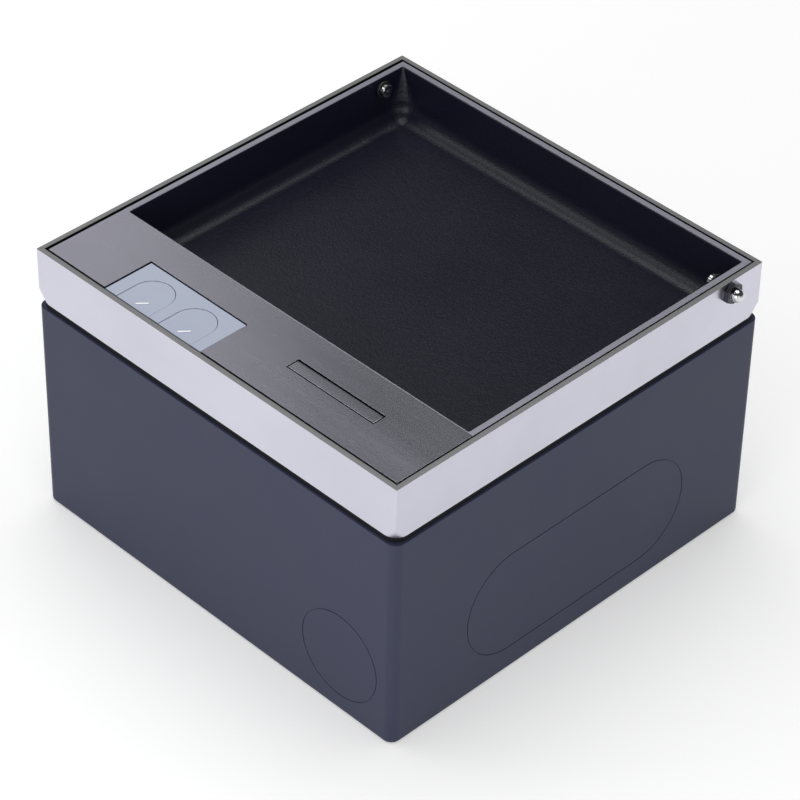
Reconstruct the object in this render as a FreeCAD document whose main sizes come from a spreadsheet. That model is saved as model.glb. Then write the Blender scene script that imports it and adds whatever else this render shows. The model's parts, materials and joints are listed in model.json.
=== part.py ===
"""Floor socket box: a flush hinged lid and steel frame on a moulded back box, millimetres.

The origin is the middle of the back box's underside, +Z up. The lid's strip is at the front (-Y)
and its hinge screws are near the rear (+Y).
"""
import FreeCAD
import Part
import Sketcher
import math
import os

Vector = FreeCAD.Vector

document = FreeCAD.newDocument("floor_socket_box")
sheet = document.addObject("Spreadsheet::Sheet", "Sizes")

SIZES = {
    # back box
    "box_overhang": 1.0,
    "box_height": 120.0,
    "box_wall": 2.6,
    "box_floor": 3.0,
    "box_corner_radius": 5.2,
    "box_foot_bevel": 1.2,
    "knockout_line": 0.8,
    "knockout_line_depth": 0.7,
    "oblong_length": 146.5,
    "oblong_width": 58.3,
    "oblong_level": 42.6,
    "round_diameter": 48.5,
    "round_inset": 34.6,
    "round_level": 33.6,
    "foot_hole": 5.5,
    "foot_hole_spacing": 160.0,
    "corner_post": 13.0,
    "corner_post_inset": 8.5,
    "corner_boss": 9.0,
    "post_screw": 3.4,
    "post_pilot_depth": 20.0,
    "device_post": 12.0,
    # gasket between box and frame
    "gasket_height": 3.0,
    "gasket_lip": 1.2,
    "gasket_leg": 1.0,
    "gasket_inset": 0.2,
    "gasket_reach": 4.8,
    # frame
    "frame_side": 240.0,
    "frame_height": 29.5,
    "frame_wall": 3.0,
    "frame_edge_round": 0.4,
    "hinge_end_play": 0.15,
    "frame_foot_round": 7.0,
    "frame_foot_height": 6.5,
    "base_ledge": 19.0,
    "base_rear_ledge": 10.0,
    "base_notch_ledge": 6.0,
    "base_notch_length": 19.0,
    "base_screw_head": 7.2,
    "base_screw_length": 20.0,
    "seat_strip_width": 4.0,
    "seat_strip_inset": 0.5,
    "seat_strip_front_gap": 14.8,
    "rest_inset": 7.0,
    "rest_outlet_gap": 5.9,
    "rest_depth": 9.0,
    "rest_height": 9.0,
    "rest_pad": 0.8,
    # lid
    "lid_gap_left": 1.4,
    "lid_gap_right": 0.5,
    "lid_gap_front": 0.7,
    "lid_gap_rear": 0.8,
    "lid_plate": 3.0,
    "lid_lip": 3.0,
    "lid_ring_depth": 12.0,
    "lid_rear_bevel": 0.5,
    "strip_width": 47.0,
    "tray_wall": 2.0,
    "tray_floor": 1.8,
    "tray_depth": 26.5,
    "tray_top_radius": 1.5,
    "tray_corner_radius": 9.0,
    "tray_foot_height": 12.0,
    "tray_flange": 2.7,
    "tray_front_flange": 11.0,
    "tray_flange_thickness": 2.0,
    "lid_screw": 3.0,
    "lid_screw_bite": 2.4,
    "lid_screw_head": 5.5,
    "lid_screw_head_height": 1.8,
    # hinge
    "hinge_inset": 19.5,
    "hinge_drop": 5.6,
    "hinge_shoulder": 5.0,
    "hinge_thread": 4.0,
    "hinge_hole_clearance": 0.3,
    "hinge_head": 7.0,
    "hinge_head_height": 4.0,
    "hinge_socket": 3.2,
    "hinge_socket_depth": 2.4,
    "bush_wall": 1.0,
    "bush_flange": 9.0,
    "bush_flange_thickness": 1.0,
    "cap_nut_flats": 7.0,
    "cap_nut_hex_height": 3.2,
    "cap_nut_dome": 6.5,
    "cap_nut_height": 8.0,
    "running_clearance": 0.06,
    # cable outlet
    "outlet_length": 65.0,
    "outlet_width": 28.1,
    "outlet_height": 15.0,
    "outlet_free_share": 0.3651,
    "outlet_front_gap": 0.4,
    "outlet_gap_left": 1.3,
    "outlet_gap_rear": 0.9,
    "outlet_gap_right": 0.2,
    "outlet_flange": 7.5,
    "outlet_flange_thickness": 2.0,
    "outlet_front_wall": 1.6,
    "flap_width": 21.5,
    "flap_reach": 22.8,
    "flap_pitch": 28.7,
    "flap_first": 18.55,
    "flap_thickness": 2.4,
    "flap_gap": 0.35,
    "flap_pivot_reach": 13.3,
    "flap_trunnion": 1.6,
    "flap_trunnion_length": 1.8,
    # pull handle
    "handle_length": 54.8,
    "handle_width": 7.0,
    "handle_thickness": 3.0,
    "handle_gap": 0.6,
    "handle_rear_gap": 0.3,
    "handle_free_share": 0.3232,
    "handle_front": 24.7,
    "handle_pin": 1.4,
    "handle_pin_seat": 2.0,
    "housing_wall": 1.6,
    "housing_depth": 9.0,
    "housing_ledge": 0.8,
    "housing_ear": 8.0,
    "housing_ear_thickness": 2.0,
    # devices
    "device_level": 60.0,
    "device_plate_thickness": 2.0,
    "device_plate_gap": 6.4,
    "device_plate_strip": 14.5,
    "device_plate_middle": 40.0,
    "device_edge_fold": 10.0,
    "module_side": 45.0,
    "module_pitch": 46.0,
    "module_body": 41.6,
    "module_cutout_clearance": 0.3,
    "module_face": 4.0,
    "module_depth": 28.0,
    "module_corner": 1.5,
    "slot_width": 2.0,
    "slot_length": 7.0,
    "slot_depth": 14.0,
    "pair_spacing": 12.8,
    "pair_rise": 11.0,
    "slant_spacing": 15.8,
    "slant_drop": 4.0,
    "slant_lean": 0.5,
    "earth_slot_drop": 13.0,
    "port_width": 12.0,
    "port_height": 8.4,
    "port_depth": 15.0,
    "port_spacing": 20.0,
    "port_key_width": 6.0,
    "port_key_height": 2.4,
    "earth_stud_diameter": 5.0,
    "earth_stud_length": 11.0,
    "earth_nut_flats": 8.0,
    "earth_nut_height": 3.2,
}

for row, (alias, size) in enumerate(SIZES.items(), start=1):
    sheet.set(f"A{row}", alias.replace("_", " "))
    sheet.set(f"B{row}", str(size))
    sheet.setAlias(f"B{row}", alias)
document.recompute()


def expand(expression):
    """Write the sheet's name before each alias in an expression."""
    words = []
    word = ""
    for letter in expression + " ":
        if letter.isalnum() or letter == "_":
            word += letter
        else:
            words.append(f"Sizes.{word}" if word in SIZES else word)
            words.append(letter)
            word = ""
    return "".join(words).strip()


def value(expression):
    """Work out an expression of sheet sizes, in millimetres."""
    return float(sheet.evalExpression(expand(str(expression))))


# Levels and places that several pieces share
BOX_HALF = "(frame_side / 2 + box_overhang)"
TOP = "(box_height + gasket_height + frame_height)"
FRAME_FOOT = "(box_height + gasket_height)"
FRAME_INNER = "(frame_side / 2 - frame_wall)"
LID_LEFT = f"(lid_gap_left - {FRAME_INNER})"
LID_RIGHT = f"({FRAME_INNER} - lid_gap_right)"
LID_FRONT = f"(lid_gap_front - {FRAME_INNER})"
LID_REAR = f"({FRAME_INNER} - lid_gap_rear)"
STRIP_REAR = f"({LID_FRONT} + strip_width)"
PLATE_UNDER = f"({TOP} - lid_plate)"
RING_FOOT = f"({TOP} - lid_ring_depth)"
TRAY_LEFT = f"({LID_LEFT} + lid_lip)"
TRAY_RIGHT = f"({LID_RIGHT} - lid_lip)"
TRAY_REAR = f"({LID_REAR} - lid_lip)"
TRAY_FOOT = f"({TOP} - tray_depth - tray_floor)"
BASE_TOP = FRAME_FOOT
BASE_UNDER = "(box_height + gasket_leg)"
BASE_OUTER = "(frame_side / 2 - gasket_inset - gasket_lip)"
HINGE_Y = f"({FRAME_INNER} - hinge_inset)"
HINGE_Z = f"({TOP} - hinge_drop)"
STRIP_FREE = f"({LID_RIGHT} - {LID_LEFT} - outlet_length - handle_length)"
OUTLET_LEFT = f"({LID_LEFT} + outlet_free_share * {STRIP_FREE})"
OUTLET_RIGHT = f"({OUTLET_LEFT} + outlet_length)"
OUTLET_FRONT = f"(outlet_front_gap - {FRAME_INNER})"
OUTLET_REAR = f"({OUTLET_FRONT} + outlet_width)"
OUTLET_FOOT = f"({TOP} - outlet_height)"
HANDLE_MIDDLE = f"({LID_RIGHT} - handle_free_share * {STRIP_FREE} - handle_length / 2)"
HANDLE_FRONT = "(handle_front - frame_side / 2)"
HANDLE_REAR = f"({HANDLE_FRONT} + handle_width)"
HANDLE_AXIS_Y = f"({HANDLE_REAR} - handle_thickness / 2)"
HANDLE_AXIS_Z = f"({TOP} - handle_thickness / 2)"
FLAP_AXIS_Y = f"({OUTLET_FRONT} + flap_pivot_reach)"
FLAP_AXIS_Z = f"({TOP} - flap_thickness / 2)"
POST_PLACE = f"({BOX_HALF} - corner_post_inset)"
REST_LENGTH = f"({FRAME_INNER} - rest_inset - rest_outlet_gap + {OUTLET_LEFT} - outlet_flange)"
PLATE_HALF = f"({BOX_HALF} - box_wall - device_plate_gap)"
PLATE_WIDTH = "(module_side + 2 * device_plate_strip)"
MODULE_FACE_TOP = "(device_level + device_plate_thickness + module_face)"
SLOT_HALF = "(handle_length / 2 + handle_gap)"
BUSH_OUTSIDE = "(hinge_shoulder + 2 * running_clearance + 2 * bush_wall)"
EARTH_OUT = "((module_side + device_plate_strip - device_plate_thickness) / 2)"
EARTH_Y = f"(device_plate_middle - {EARTH_OUT})"

SIDES = {"left": -1, "right": 1}


class Piece:
    """One physical piece of the floor box, made as a body of sketches and features."""

    def __init__(self, name):
        self.name = name
        self.body = document.addObject("PartDesign::Body", name)
        self.body.Label = name
        self.count = 0

    def feature(self, kind, title):
        """Add a feature of one kind, numbered within the piece."""
        self.count += 1
        return self.body.newObject(kind, f"{self.name}_{title}_{self.count}")

    def sketch(self, role="XY_Plane", level="0"):
        """Add a sketch on one of the piece's own planes, moved along its normal to a level."""
        drawing = self.feature("Sketcher::SketchObject", "sketch")
        planes = [item for item in self.body.Origin.OriginFeatures if item.Role == role]
        drawing.AttachmentSupport = [(planes[0], "")]
        drawing.MapMode = "FlatFace"
        direction = "-1 * " if role == "XZ_Plane" else ""
        drawing.setExpression("AttachmentOffset.Base.z", f"{direction}({expand(level)})")
        return drawing

    def pad(self, drawing, length, backwards=False):
        """Raise a sketch by a length."""
        solid = self.feature("PartDesign::Pad", "pad")
        solid.Profile = drawing
        solid.setExpression("Length", expand(length))
        solid.Reversed = backwards
        document.recompute()
        return solid

    def pocket(self, drawing, depth, backwards=False):
        """Cut a sketch to a depth, and stop if nothing was cut."""
        before = self.body.Shape.Volume
        hollow = self.feature("PartDesign::Pocket", "pocket")
        hollow.Profile = drawing
        hollow.setExpression("Length", expand(depth))
        hollow.Reversed = backwards
        document.recompute()
        if self.body.Shape.Volume >= before:
            raise ValueError(f"{hollow.Name} cuts nothing")
        return hollow

    def loft(self, kind, start, end):
        """Join two outlines by straight lines, as a solid or as a cut."""
        solid = self.feature(kind, "loft")
        solid.Profile = start
        solid.Sections = [end]
        solid.Ruled = True
        document.recompute()
        return solid

    def revolve(self, drawing, axis):
        """Turn a sketch about one of the sketch's own axes."""
        solid = self.feature("PartDesign::Revolution", "turn")
        solid.Profile = drawing
        solid.ReferenceAxis = (drawing, [axis])
        solid.Angle = 360.0
        document.recompute()
        return solid

    def edge_names(self, wanted):
        """Name the edges of the piece's present shape that a test accepts."""
        edges = self.body.Tip.Shape.Edges
        return [f"Edge{number}" for number, edge in enumerate(edges, start=1) if wanted(edge)]

    def round_off(self, wanted, radius):
        """Round the edges that a test accepts."""
        base = self.body.Tip
        names = self.edge_names(wanted)
        rounding = self.feature("PartDesign::Fillet", "round")
        rounding.Base = (base, names)
        rounding.setExpression("Radius", expand(radius))
        document.recompute()
        return rounding

    def bevel(self, wanted, size):
        """Chamfer the edges that a test accepts."""
        base = self.body.Tip
        names = self.edge_names(wanted)
        chamfer = self.feature("PartDesign::Chamfer", "bevel")
        chamfer.Base = (base, names)
        chamfer.setExpression("Size", expand(size))
        document.recompute()
        return chamfer


def place_point(drawing, geometry, point, across, along):
    """Tie a sketch point to a place given by two expressions."""
    number = drawing.addConstraint(
        Sketcher.Constraint("DistanceX", -1, 1, geometry, point, value(across)))
    drawing.setExpression(f"Constraints[{number}]", expand(across))
    number = drawing.addConstraint(
        Sketcher.Constraint("DistanceY", -1, 1, geometry, point, value(along)))
    drawing.setExpression(f"Constraints[{number}]", expand(along))


def outline(drawing, corners):
    """Draw a closed outline through corners, each a pair of expressions."""
    places = [Vector(value(across), value(along), 0) for across, along in corners]
    first = drawing.GeometryCount
    total = len(places)
    for index in range(total):
        drawing.addGeometry(Part.LineSegment(places[index], places[(index + 1) % total]), False)
    for index in range(total):
        following = first + (index + 1) % total
        drawing.addConstraint(Sketcher.Constraint("Coincident", first + index, 2, following, 1))
    for index, (across, along) in enumerate(corners):
        place_point(drawing, first + index, 1, across, along)
    return drawing


def rectangle(drawing, left, right, low, high):
    """Draw a rectangle between four expressions."""
    return outline(drawing, [(left, low), (right, low), (right, high), (left, high)])


def middle_rectangle(drawing, across, along, length, width):
    """Draw a rectangle about a middle point."""
    left = f"{across} - ({length}) / 2"
    right = f"{across} + ({length}) / 2"
    low = f"{along} - ({width}) / 2"
    high = f"{along} + ({width}) / 2"
    return rectangle(drawing, left, right, low, high)


def circle(drawing, across, along, diameter):
    """Draw a circle about a place."""
    place = Vector(value(across), value(along), 0)
    radius = value(diameter) / 2
    number = drawing.addGeometry(Part.Circle(place, Vector(0, 0, 1), radius), False)
    place_point(drawing, number, 3, across, along)
    size = drawing.addConstraint(Sketcher.Constraint("Diameter", number, 2 * radius))
    drawing.setExpression(f"Constraints[{size}]", expand(diameter))
    return drawing


def long_hole(drawing, across, along, length, width):
    """Draw a slot with round ends, its length along the sketch's first direction."""
    reach = f"(({length}) - ({width})) / 2"
    half = value(width) / 2
    ends = [value(f"{across} - {reach}"), value(f"{across} + {reach}")]
    level = value(along)
    first = drawing.GeometryCount
    quarter = math.pi / 2
    up = Vector(0, 0, 1)
    left_circle = Part.Circle(Vector(ends[0], level, 0), up, half)
    right_circle = Part.Circle(Vector(ends[1], level, 0), up, half)
    drawing.addGeometry(Part.ArcOfCircle(left_circle, quarter, 3 * quarter), False)
    drawing.addGeometry(Part.LineSegment(
        Vector(ends[0], level - half, 0), Vector(ends[1], level - half, 0)), False)
    drawing.addGeometry(Part.ArcOfCircle(right_circle, -quarter, quarter), False)
    drawing.addGeometry(Part.LineSegment(
        Vector(ends[1], level + half, 0), Vector(ends[0], level + half, 0)), False)
    drawing.addConstraint(Sketcher.Constraint("Tangent", first, 2, first + 1, 1))
    drawing.addConstraint(Sketcher.Constraint("Tangent", first + 1, 2, first + 2, 1))
    drawing.addConstraint(Sketcher.Constraint("Tangent", first + 2, 2, first + 3, 1))
    drawing.addConstraint(Sketcher.Constraint("Tangent", first + 3, 2, first, 1))
    place_point(drawing, first, 3, f"{across} - {reach}", along)
    place_point(drawing, first + 2, 3, f"{across} + {reach}", along)
    size = drawing.addConstraint(Sketcher.Constraint("Radius", first, half))
    drawing.setExpression(f"Constraints[{size}]", expand(f"({width}) / 2"))
    return drawing


def arch(drawing, across, base, tip, width):
    """Draw a U: straight at its base line, round at its tip, which lies towards +Y."""
    half = value(width) / 2
    middle = value(across)
    shoulder = value(tip) - half
    foot = value(base)
    first = drawing.GeometryCount
    arc = Part.Circle(Vector(middle, shoulder, 0), Vector(0, 0, 1), half)
    drawing.addGeometry(Part.ArcOfCircle(arc, 0.0, math.pi), False)
    drawing.addGeometry(Part.LineSegment(
        Vector(middle - half, shoulder, 0), Vector(middle - half, foot, 0)), False)
    drawing.addGeometry(Part.LineSegment(
        Vector(middle - half, foot, 0), Vector(middle + half, foot, 0)), False)
    drawing.addGeometry(Part.LineSegment(
        Vector(middle + half, foot, 0), Vector(middle + half, shoulder, 0)), False)
    drawing.addConstraint(Sketcher.Constraint("Tangent", first, 2, first + 1, 1))
    drawing.addConstraint(Sketcher.Constraint("Coincident", first + 1, 2, first + 2, 1))
    drawing.addConstraint(Sketcher.Constraint("Coincident", first + 2, 2, first + 3, 1))
    drawing.addConstraint(Sketcher.Constraint("Tangent", first + 3, 2, first, 1))
    drawing.addConstraint(Sketcher.Constraint("Horizontal", first + 2))
    place_point(drawing, first, 3, across, f"({tip}) - ({width}) / 2")
    size = drawing.addConstraint(Sketcher.Constraint("Radius", first, half))
    drawing.setExpression(f"Constraints[{size}]", expand(f"({width}) / 2"))
    level = drawing.addConstraint(
        Sketcher.Constraint("DistanceY", -1, 1, first + 2, 1, foot))
    drawing.setExpression(f"Constraints[{level}]", expand(base))
    return drawing


def upright(edge):
    """Tell whether an edge is straight and vertical."""
    bounds = edge.BoundBox
    return bounds.ZLength > 0.1 and bounds.XLength < 0.01 and bounds.YLength < 0.01


def at_level(edge, level, slack=0.01):
    """Tell whether an edge lies flat at one level."""
    bounds = edge.BoundBox
    return abs(bounds.ZMin - level) < slack and abs(bounds.ZMax - level) < slack


def reach(edge):
    """Give how far from the Z axis an edge reaches along X or Y."""
    bounds = edge.BoundBox
    return max(abs(bounds.XMin), abs(bounds.XMax), abs(bounds.YMin), abs(bounds.YMax))


def corner_places(across, along):
    """Give the four places of a square or oblong pattern as pairs of expressions."""
    places = []
    for side in (-1, 1):
        for end in (-1, 1):
            places.append((f"{side} * {across}", f"{end} * {along}"))
    return places


def back_box():
    """The moulded box: walls, floor, corner posts, device posts and knock-out lines."""
    piece = Piece("back_box")
    half = BOX_HALF
    piece.pad(rectangle(piece.sketch(), f"-{half}", half, f"-{half}", half), "box_height")
    piece.round_off(upright, "box_corner_radius")
    piece.bevel(lambda edge: at_level(edge, 0.0), "box_foot_bevel")
    inner = f"({BOX_HALF} - box_wall)"
    hollow = rectangle(piece.sketch(level="box_height"), f"-{inner}", inner, f"-{inner}", inner)
    piece.pocket(hollow, "box_height - box_floor")
    inner_reach = value(inner) + 0.01
    piece.round_off(
        lambda edge: upright(edge) and reach(edge) < inner_reach, "box_corner_radius - box_wall")

    posts = piece.sketch(level="box_floor")
    for across, along in corner_places(POST_PLACE, POST_PLACE):
        middle_rectangle(posts, across, along, "corner_post", "corner_post")
    piece.pad(posts, "box_height - box_floor")
    bosses = piece.sketch(level="box_height")
    for across, along in corner_places(POST_PLACE, POST_PLACE):
        middle_rectangle(bosses, across, along, "corner_boss", "corner_boss")
    piece.pad(bosses, "gasket_leg")
    pilots = piece.sketch(level=BASE_UNDER)
    for across, along in corner_places(POST_PLACE, POST_PLACE):
        circle(pilots, across, along, "post_screw")
    piece.pocket(pilots, "post_pilot_depth")

    device_posts = piece.sketch(level="box_floor")
    for across, along in device_post_places():
        middle_rectangle(device_posts, across, along, "device_post", "device_post")
    piece.pad(device_posts, "device_level - box_floor")
    device_pilots = piece.sketch(level="device_level")
    for across, along in device_post_places():
        circle(device_pilots, across, along, "post_screw")
    piece.pocket(device_pilots, "post_pilot_depth")

    foot_holes = piece.sketch(level="box_floor")
    for across, along in corner_places("foot_hole_spacing / 2", "foot_hole_spacing / 2"):
        circle(foot_holes, across, along, "foot_hole")
    piece.pocket(foot_holes, "box_floor")

    for side in (-1, 1):
        knockout_line(piece, "YZ_Plane", side, long_hole, "0", "oblong_level",
                      "oblong_length", "oblong_width")
        knockout_line(piece, "XZ_Plane", side, round_outline,
                      f"{-side} * ({BOX_HALF} - round_inset)", "round_level",
                      "round_diameter", "round_diameter")
    return piece


def round_outline(drawing, across, along, length, width):
    """Draw a round knock-out, whose length and width are one diameter."""
    return circle(drawing, across, along, f"({length} + {width}) / 2")


def knockout_line(piece, role, side, shape, across, along, length, width):
    """Cut the thin line round one knock-out into a side wall of the box."""
    drawing = piece.sketch(role, f"{side} * {BOX_HALF}")
    shape(drawing, across, along, f"{length} + knockout_line", f"{width} + knockout_line")
    shape(drawing, across, along, f"{length} - knockout_line", f"{width} - knockout_line")
    inward_is_back = (side == 1) == (role == "YZ_Plane")
    piece.pocket(drawing, "knockout_line_depth", backwards=not inward_is_back)


def device_post_places():
    """Give the places of the posts under the device plate."""
    across = f"({PLATE_HALF} - device_post / 2 - 2 * device_plate_thickness)"
    step = f"({PLATE_WIDTH} / 2 - device_post / 2 - 2 * device_plate_thickness)"
    places = []
    for side in (-1, 1):
        for end in (-1, 1):
            places.append((f"{side} * {across}", f"device_plate_middle + {end} * {step}"))
    return places


def rounded_rectangle(drawing, left, right, low, high, radius):
    """Draw a rectangle with round corners between four expressions."""
    first = drawing.GeometryCount
    bend = value(radius)
    turn = math.pi / 2
    middles = [(f"{left} + {radius}", f"{low} + {radius}"),
               (f"{right} - {radius}", f"{low} + {radius}"),
               (f"{right} - {radius}", f"{high} - {radius}"),
               (f"{left} + {radius}", f"{high} - {radius}")]
    for corner, (across, along) in enumerate(middles):
        start = (corner + 2) * turn
        arc = Part.Circle(Vector(value(across), value(along), 0), Vector(0, 0, 1), bend)
        drawing.addGeometry(Part.ArcOfCircle(arc, start, start + turn), False)
    for corner in range(4):
        beginning = drawing.Geometry[first + corner].EndPoint
        end = drawing.Geometry[first + (corner + 1) % 4].StartPoint
        drawing.addGeometry(Part.LineSegment(beginning, end), False)
    for corner in range(4):
        line = first + 4 + corner
        drawing.addConstraint(Sketcher.Constraint("Tangent", first + corner, 2, line, 1))
        drawing.addConstraint(
            Sketcher.Constraint("Tangent", line, 2, first + (corner + 1) % 4, 1))
    for corner, (across, along) in enumerate(middles):
        place_point(drawing, first + corner, 3, across, along)
        size = drawing.addConstraint(Sketcher.Constraint("Radius", first + corner, bend))
        drawing.setExpression(f"Constraints[{size}]", expand(radius))
    return drawing


def hexagon(drawing, across, along, flats):
    """Draw a hexagon of a width over its flats."""
    corners = []
    for step in range(6):
        angle = math.radians(60 * step)
        corners.append((f"{across} + {math.cos(angle):.6f} * {flats} / sqrt(3)",
                        f"{along} + {math.sin(angle):.6f} * {flats} / sqrt(3)"))
    return outline(drawing, corners)


def slanted_slot(drawing, across, along, lean):
    """Draw a contact slot whose top leans sideways by a share of its length."""
    half_long = "slot_length / 2"
    half_wide = "slot_width / 2"
    shift = f"{lean} * slot_length / 2"
    return outline(drawing, [
        (f"{across} - {half_wide} - {shift}", f"{along} - {half_long}"),
        (f"{across} + {half_wide} - {shift}", f"{along} - {half_long}"),
        (f"{across} + {half_wide} + {shift}", f"{along} + {half_long}"),
        (f"{across} - {half_wide} + {shift}", f"{along} + {half_long}")])


def box_gasket():
    """The black rubber ring between the box's rim and the frame's foot."""
    piece = Piece("box_gasket")
    outer = "(frame_side / 2 - gasket_inset)"
    inner = f"({outer} - gasket_reach)"
    round_corner = "(frame_foot_round - gasket_inset)"
    ring = piece.sketch(level="box_height")
    rounded_rectangle(ring, f"-{outer}", outer, f"-{outer}", outer, round_corner)
    rectangle(ring, f"-{inner}", inner, f"-{inner}", inner)
    piece.pad(ring, "gasket_height")
    seat = piece.sketch(level=FRAME_FOOT)
    seat_round = f"({round_corner} - gasket_lip)"
    rounded_rectangle(seat, f"-{BASE_OUTER}", BASE_OUTER, f"-{BASE_OUTER}", BASE_OUTER, seat_round)
    piece.pocket(seat, "gasket_height - gasket_leg")
    corners = piece.sketch(level=BASE_UNDER)
    for across, along in corner_places(POST_PLACE, POST_PLACE):
        middle_rectangle(corners, across, along, "corner_boss + 2 * gasket_inset",
                         "corner_boss + 2 * gasket_inset")
    piece.pocket(corners, "gasket_leg")
    return piece


def frame_skirt():
    """The stainless flat-bar frame, sharp-cornered, with the foot of each corner rounded off."""
    piece = Piece("frame_skirt")
    half = "frame_side / 2"
    foot_top = f"({FRAME_FOOT} + frame_foot_height)"
    foot = piece.sketch(level=FRAME_FOOT)
    rounded_rectangle(foot, f"-{half}", half, f"-{half}", half, "frame_foot_round")
    shoulder = piece.sketch(level=foot_top)
    rounded_rectangle(shoulder, f"-{half}", half, f"-{half}", half, "frame_edge_round")
    piece.loft("PartDesign::AdditiveLoft", foot, shoulder)
    bar = piece.sketch(level=foot_top)
    rounded_rectangle(bar, f"-{half}", half, f"-{half}", half, "frame_edge_round")
    piece.pad(bar, "frame_height - frame_foot_height")
    hollow = piece.sketch(level=TOP)
    rectangle(hollow, f"-{FRAME_INNER}", FRAME_INNER, f"-{FRAME_INNER}", FRAME_INNER)
    piece.pocket(hollow, "frame_height")
    for side in SIDES.values():
        hole = piece.sketch("YZ_Plane", f"{side} * frame_side / 2")
        circle(hole, HINGE_Y, HINGE_Z, "hinge_thread + hinge_hole_clearance")
        piece.pocket(hole, "frame_wall", backwards=side < 0)
    return piece


def frame_base():
    """The steel flange plate inside the frame's foot, cut back where the lid's tray swings."""
    piece = Piece("frame_base")
    outer = BASE_OUTER
    corner = "(frame_foot_round - gasket_inset - gasket_lip)"
    plate = piece.sketch(level=BASE_UNDER)
    rounded_rectangle(plate, f"-{outer}", outer, f"-{outer}", outer, corner)
    side = f"({FRAME_INNER} - base_ledge)"
    wide = f"({FRAME_INNER} - base_notch_ledge)"
    rear = f"({FRAME_INNER} - base_rear_ledge)"
    step = f"({rear} - base_notch_length)"
    outline(plate, [(f"-{side}", f"-{side}"), (side, f"-{side}"), (side, step), (wide, step),
                    (wide, rear), (f"-{wide}", rear), (f"-{wide}", step), (f"-{side}", step)])
    piece.pad(plate, f"{BASE_TOP} - {BASE_UNDER}")
    holes = piece.sketch(level=BASE_TOP)
    for across, along in corner_places(POST_PLACE, POST_PLACE):
        circle(holes, across, along, "post_screw")
    piece.pocket(holes, f"{BASE_TOP} - {BASE_UNDER}")
    top = value(BASE_TOP)
    hole_round = value("post_screw") + 0.1
    piece.bevel(
        lambda edge: at_level(edge, top) and edge.BoundBox.XLength < hole_round,
        "(base_screw_head - post_screw) / 2")
    return piece


def lid_frame():
    """The lid's steel: side and rear lips folded down, and the strip with notch and slot."""
    piece = Piece("lid_frame")
    block = piece.sketch(level=RING_FOOT)
    rectangle(block, LID_LEFT, LID_RIGHT, LID_FRONT, LID_REAR)
    piece.pad(block, "lid_ring_depth")
    opening = piece.sketch(level=TOP)
    rounded_rectangle(
        opening, TRAY_LEFT, TRAY_RIGHT, STRIP_REAR, TRAY_REAR, "tray_top_radius")
    piece.pocket(opening, "lid_ring_depth")
    under = piece.sketch(level=RING_FOOT)
    rectangle(under, TRAY_LEFT, TRAY_RIGHT, f"{LID_FRONT} - lid_plate", f"{STRIP_REAR} + tray_wall")
    piece.pocket(under, "lid_ring_depth - lid_plate", backwards=True)

    notch = piece.sketch(level=TOP)
    rectangle(notch, f"{OUTLET_LEFT} - outlet_gap_left", f"{OUTLET_RIGHT} + outlet_gap_right",
              f"{LID_FRONT} - lid_plate", f"{OUTLET_REAR} + outlet_gap_rear")
    piece.pocket(notch, "lid_plate")
    slot = piece.sketch(level=TOP)
    rectangle(slot, f"{HANDLE_MIDDLE} - {SLOT_HALF}", f"{HANDLE_MIDDLE} + {SLOT_HALF}",
              f"{HANDLE_FRONT} - handle_gap", f"{HANDLE_REAR} + handle_rear_gap")
    piece.pocket(slot, "lid_plate")
    pin_hole = piece.sketch("YZ_Plane", f"{HANDLE_MIDDLE} + {SLOT_HALF} + handle_pin_seat")
    circle(pin_hole, HANDLE_AXIS_Y, HANDLE_AXIS_Z, "handle_pin")
    piece.pocket(pin_hole, f"2 * ({SLOT_HALF} + handle_pin_seat)")

    hinge_hole = piece.sketch("YZ_Plane", LID_RIGHT)
    circle(hinge_hole, HINGE_Y, HINGE_Z, BUSH_OUTSIDE)
    piece.pocket(hinge_hole, f"{LID_RIGHT} - {LID_LEFT}")
    threads = piece.sketch(level=PLATE_UNDER)
    for across, along in tray_screw_places() + outlet_screw_places() + housing_screw_places():
        circle(threads, across, along, "lid_screw")
    piece.pocket(threads, "lid_screw_bite", backwards=True)
    top = value(TOP)
    rear = value(LID_REAR)
    piece.bevel(
        lambda edge: at_level(edge, top) and edge.BoundBox.YMin > rear - 0.01, "lid_rear_bevel")
    return piece


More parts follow.
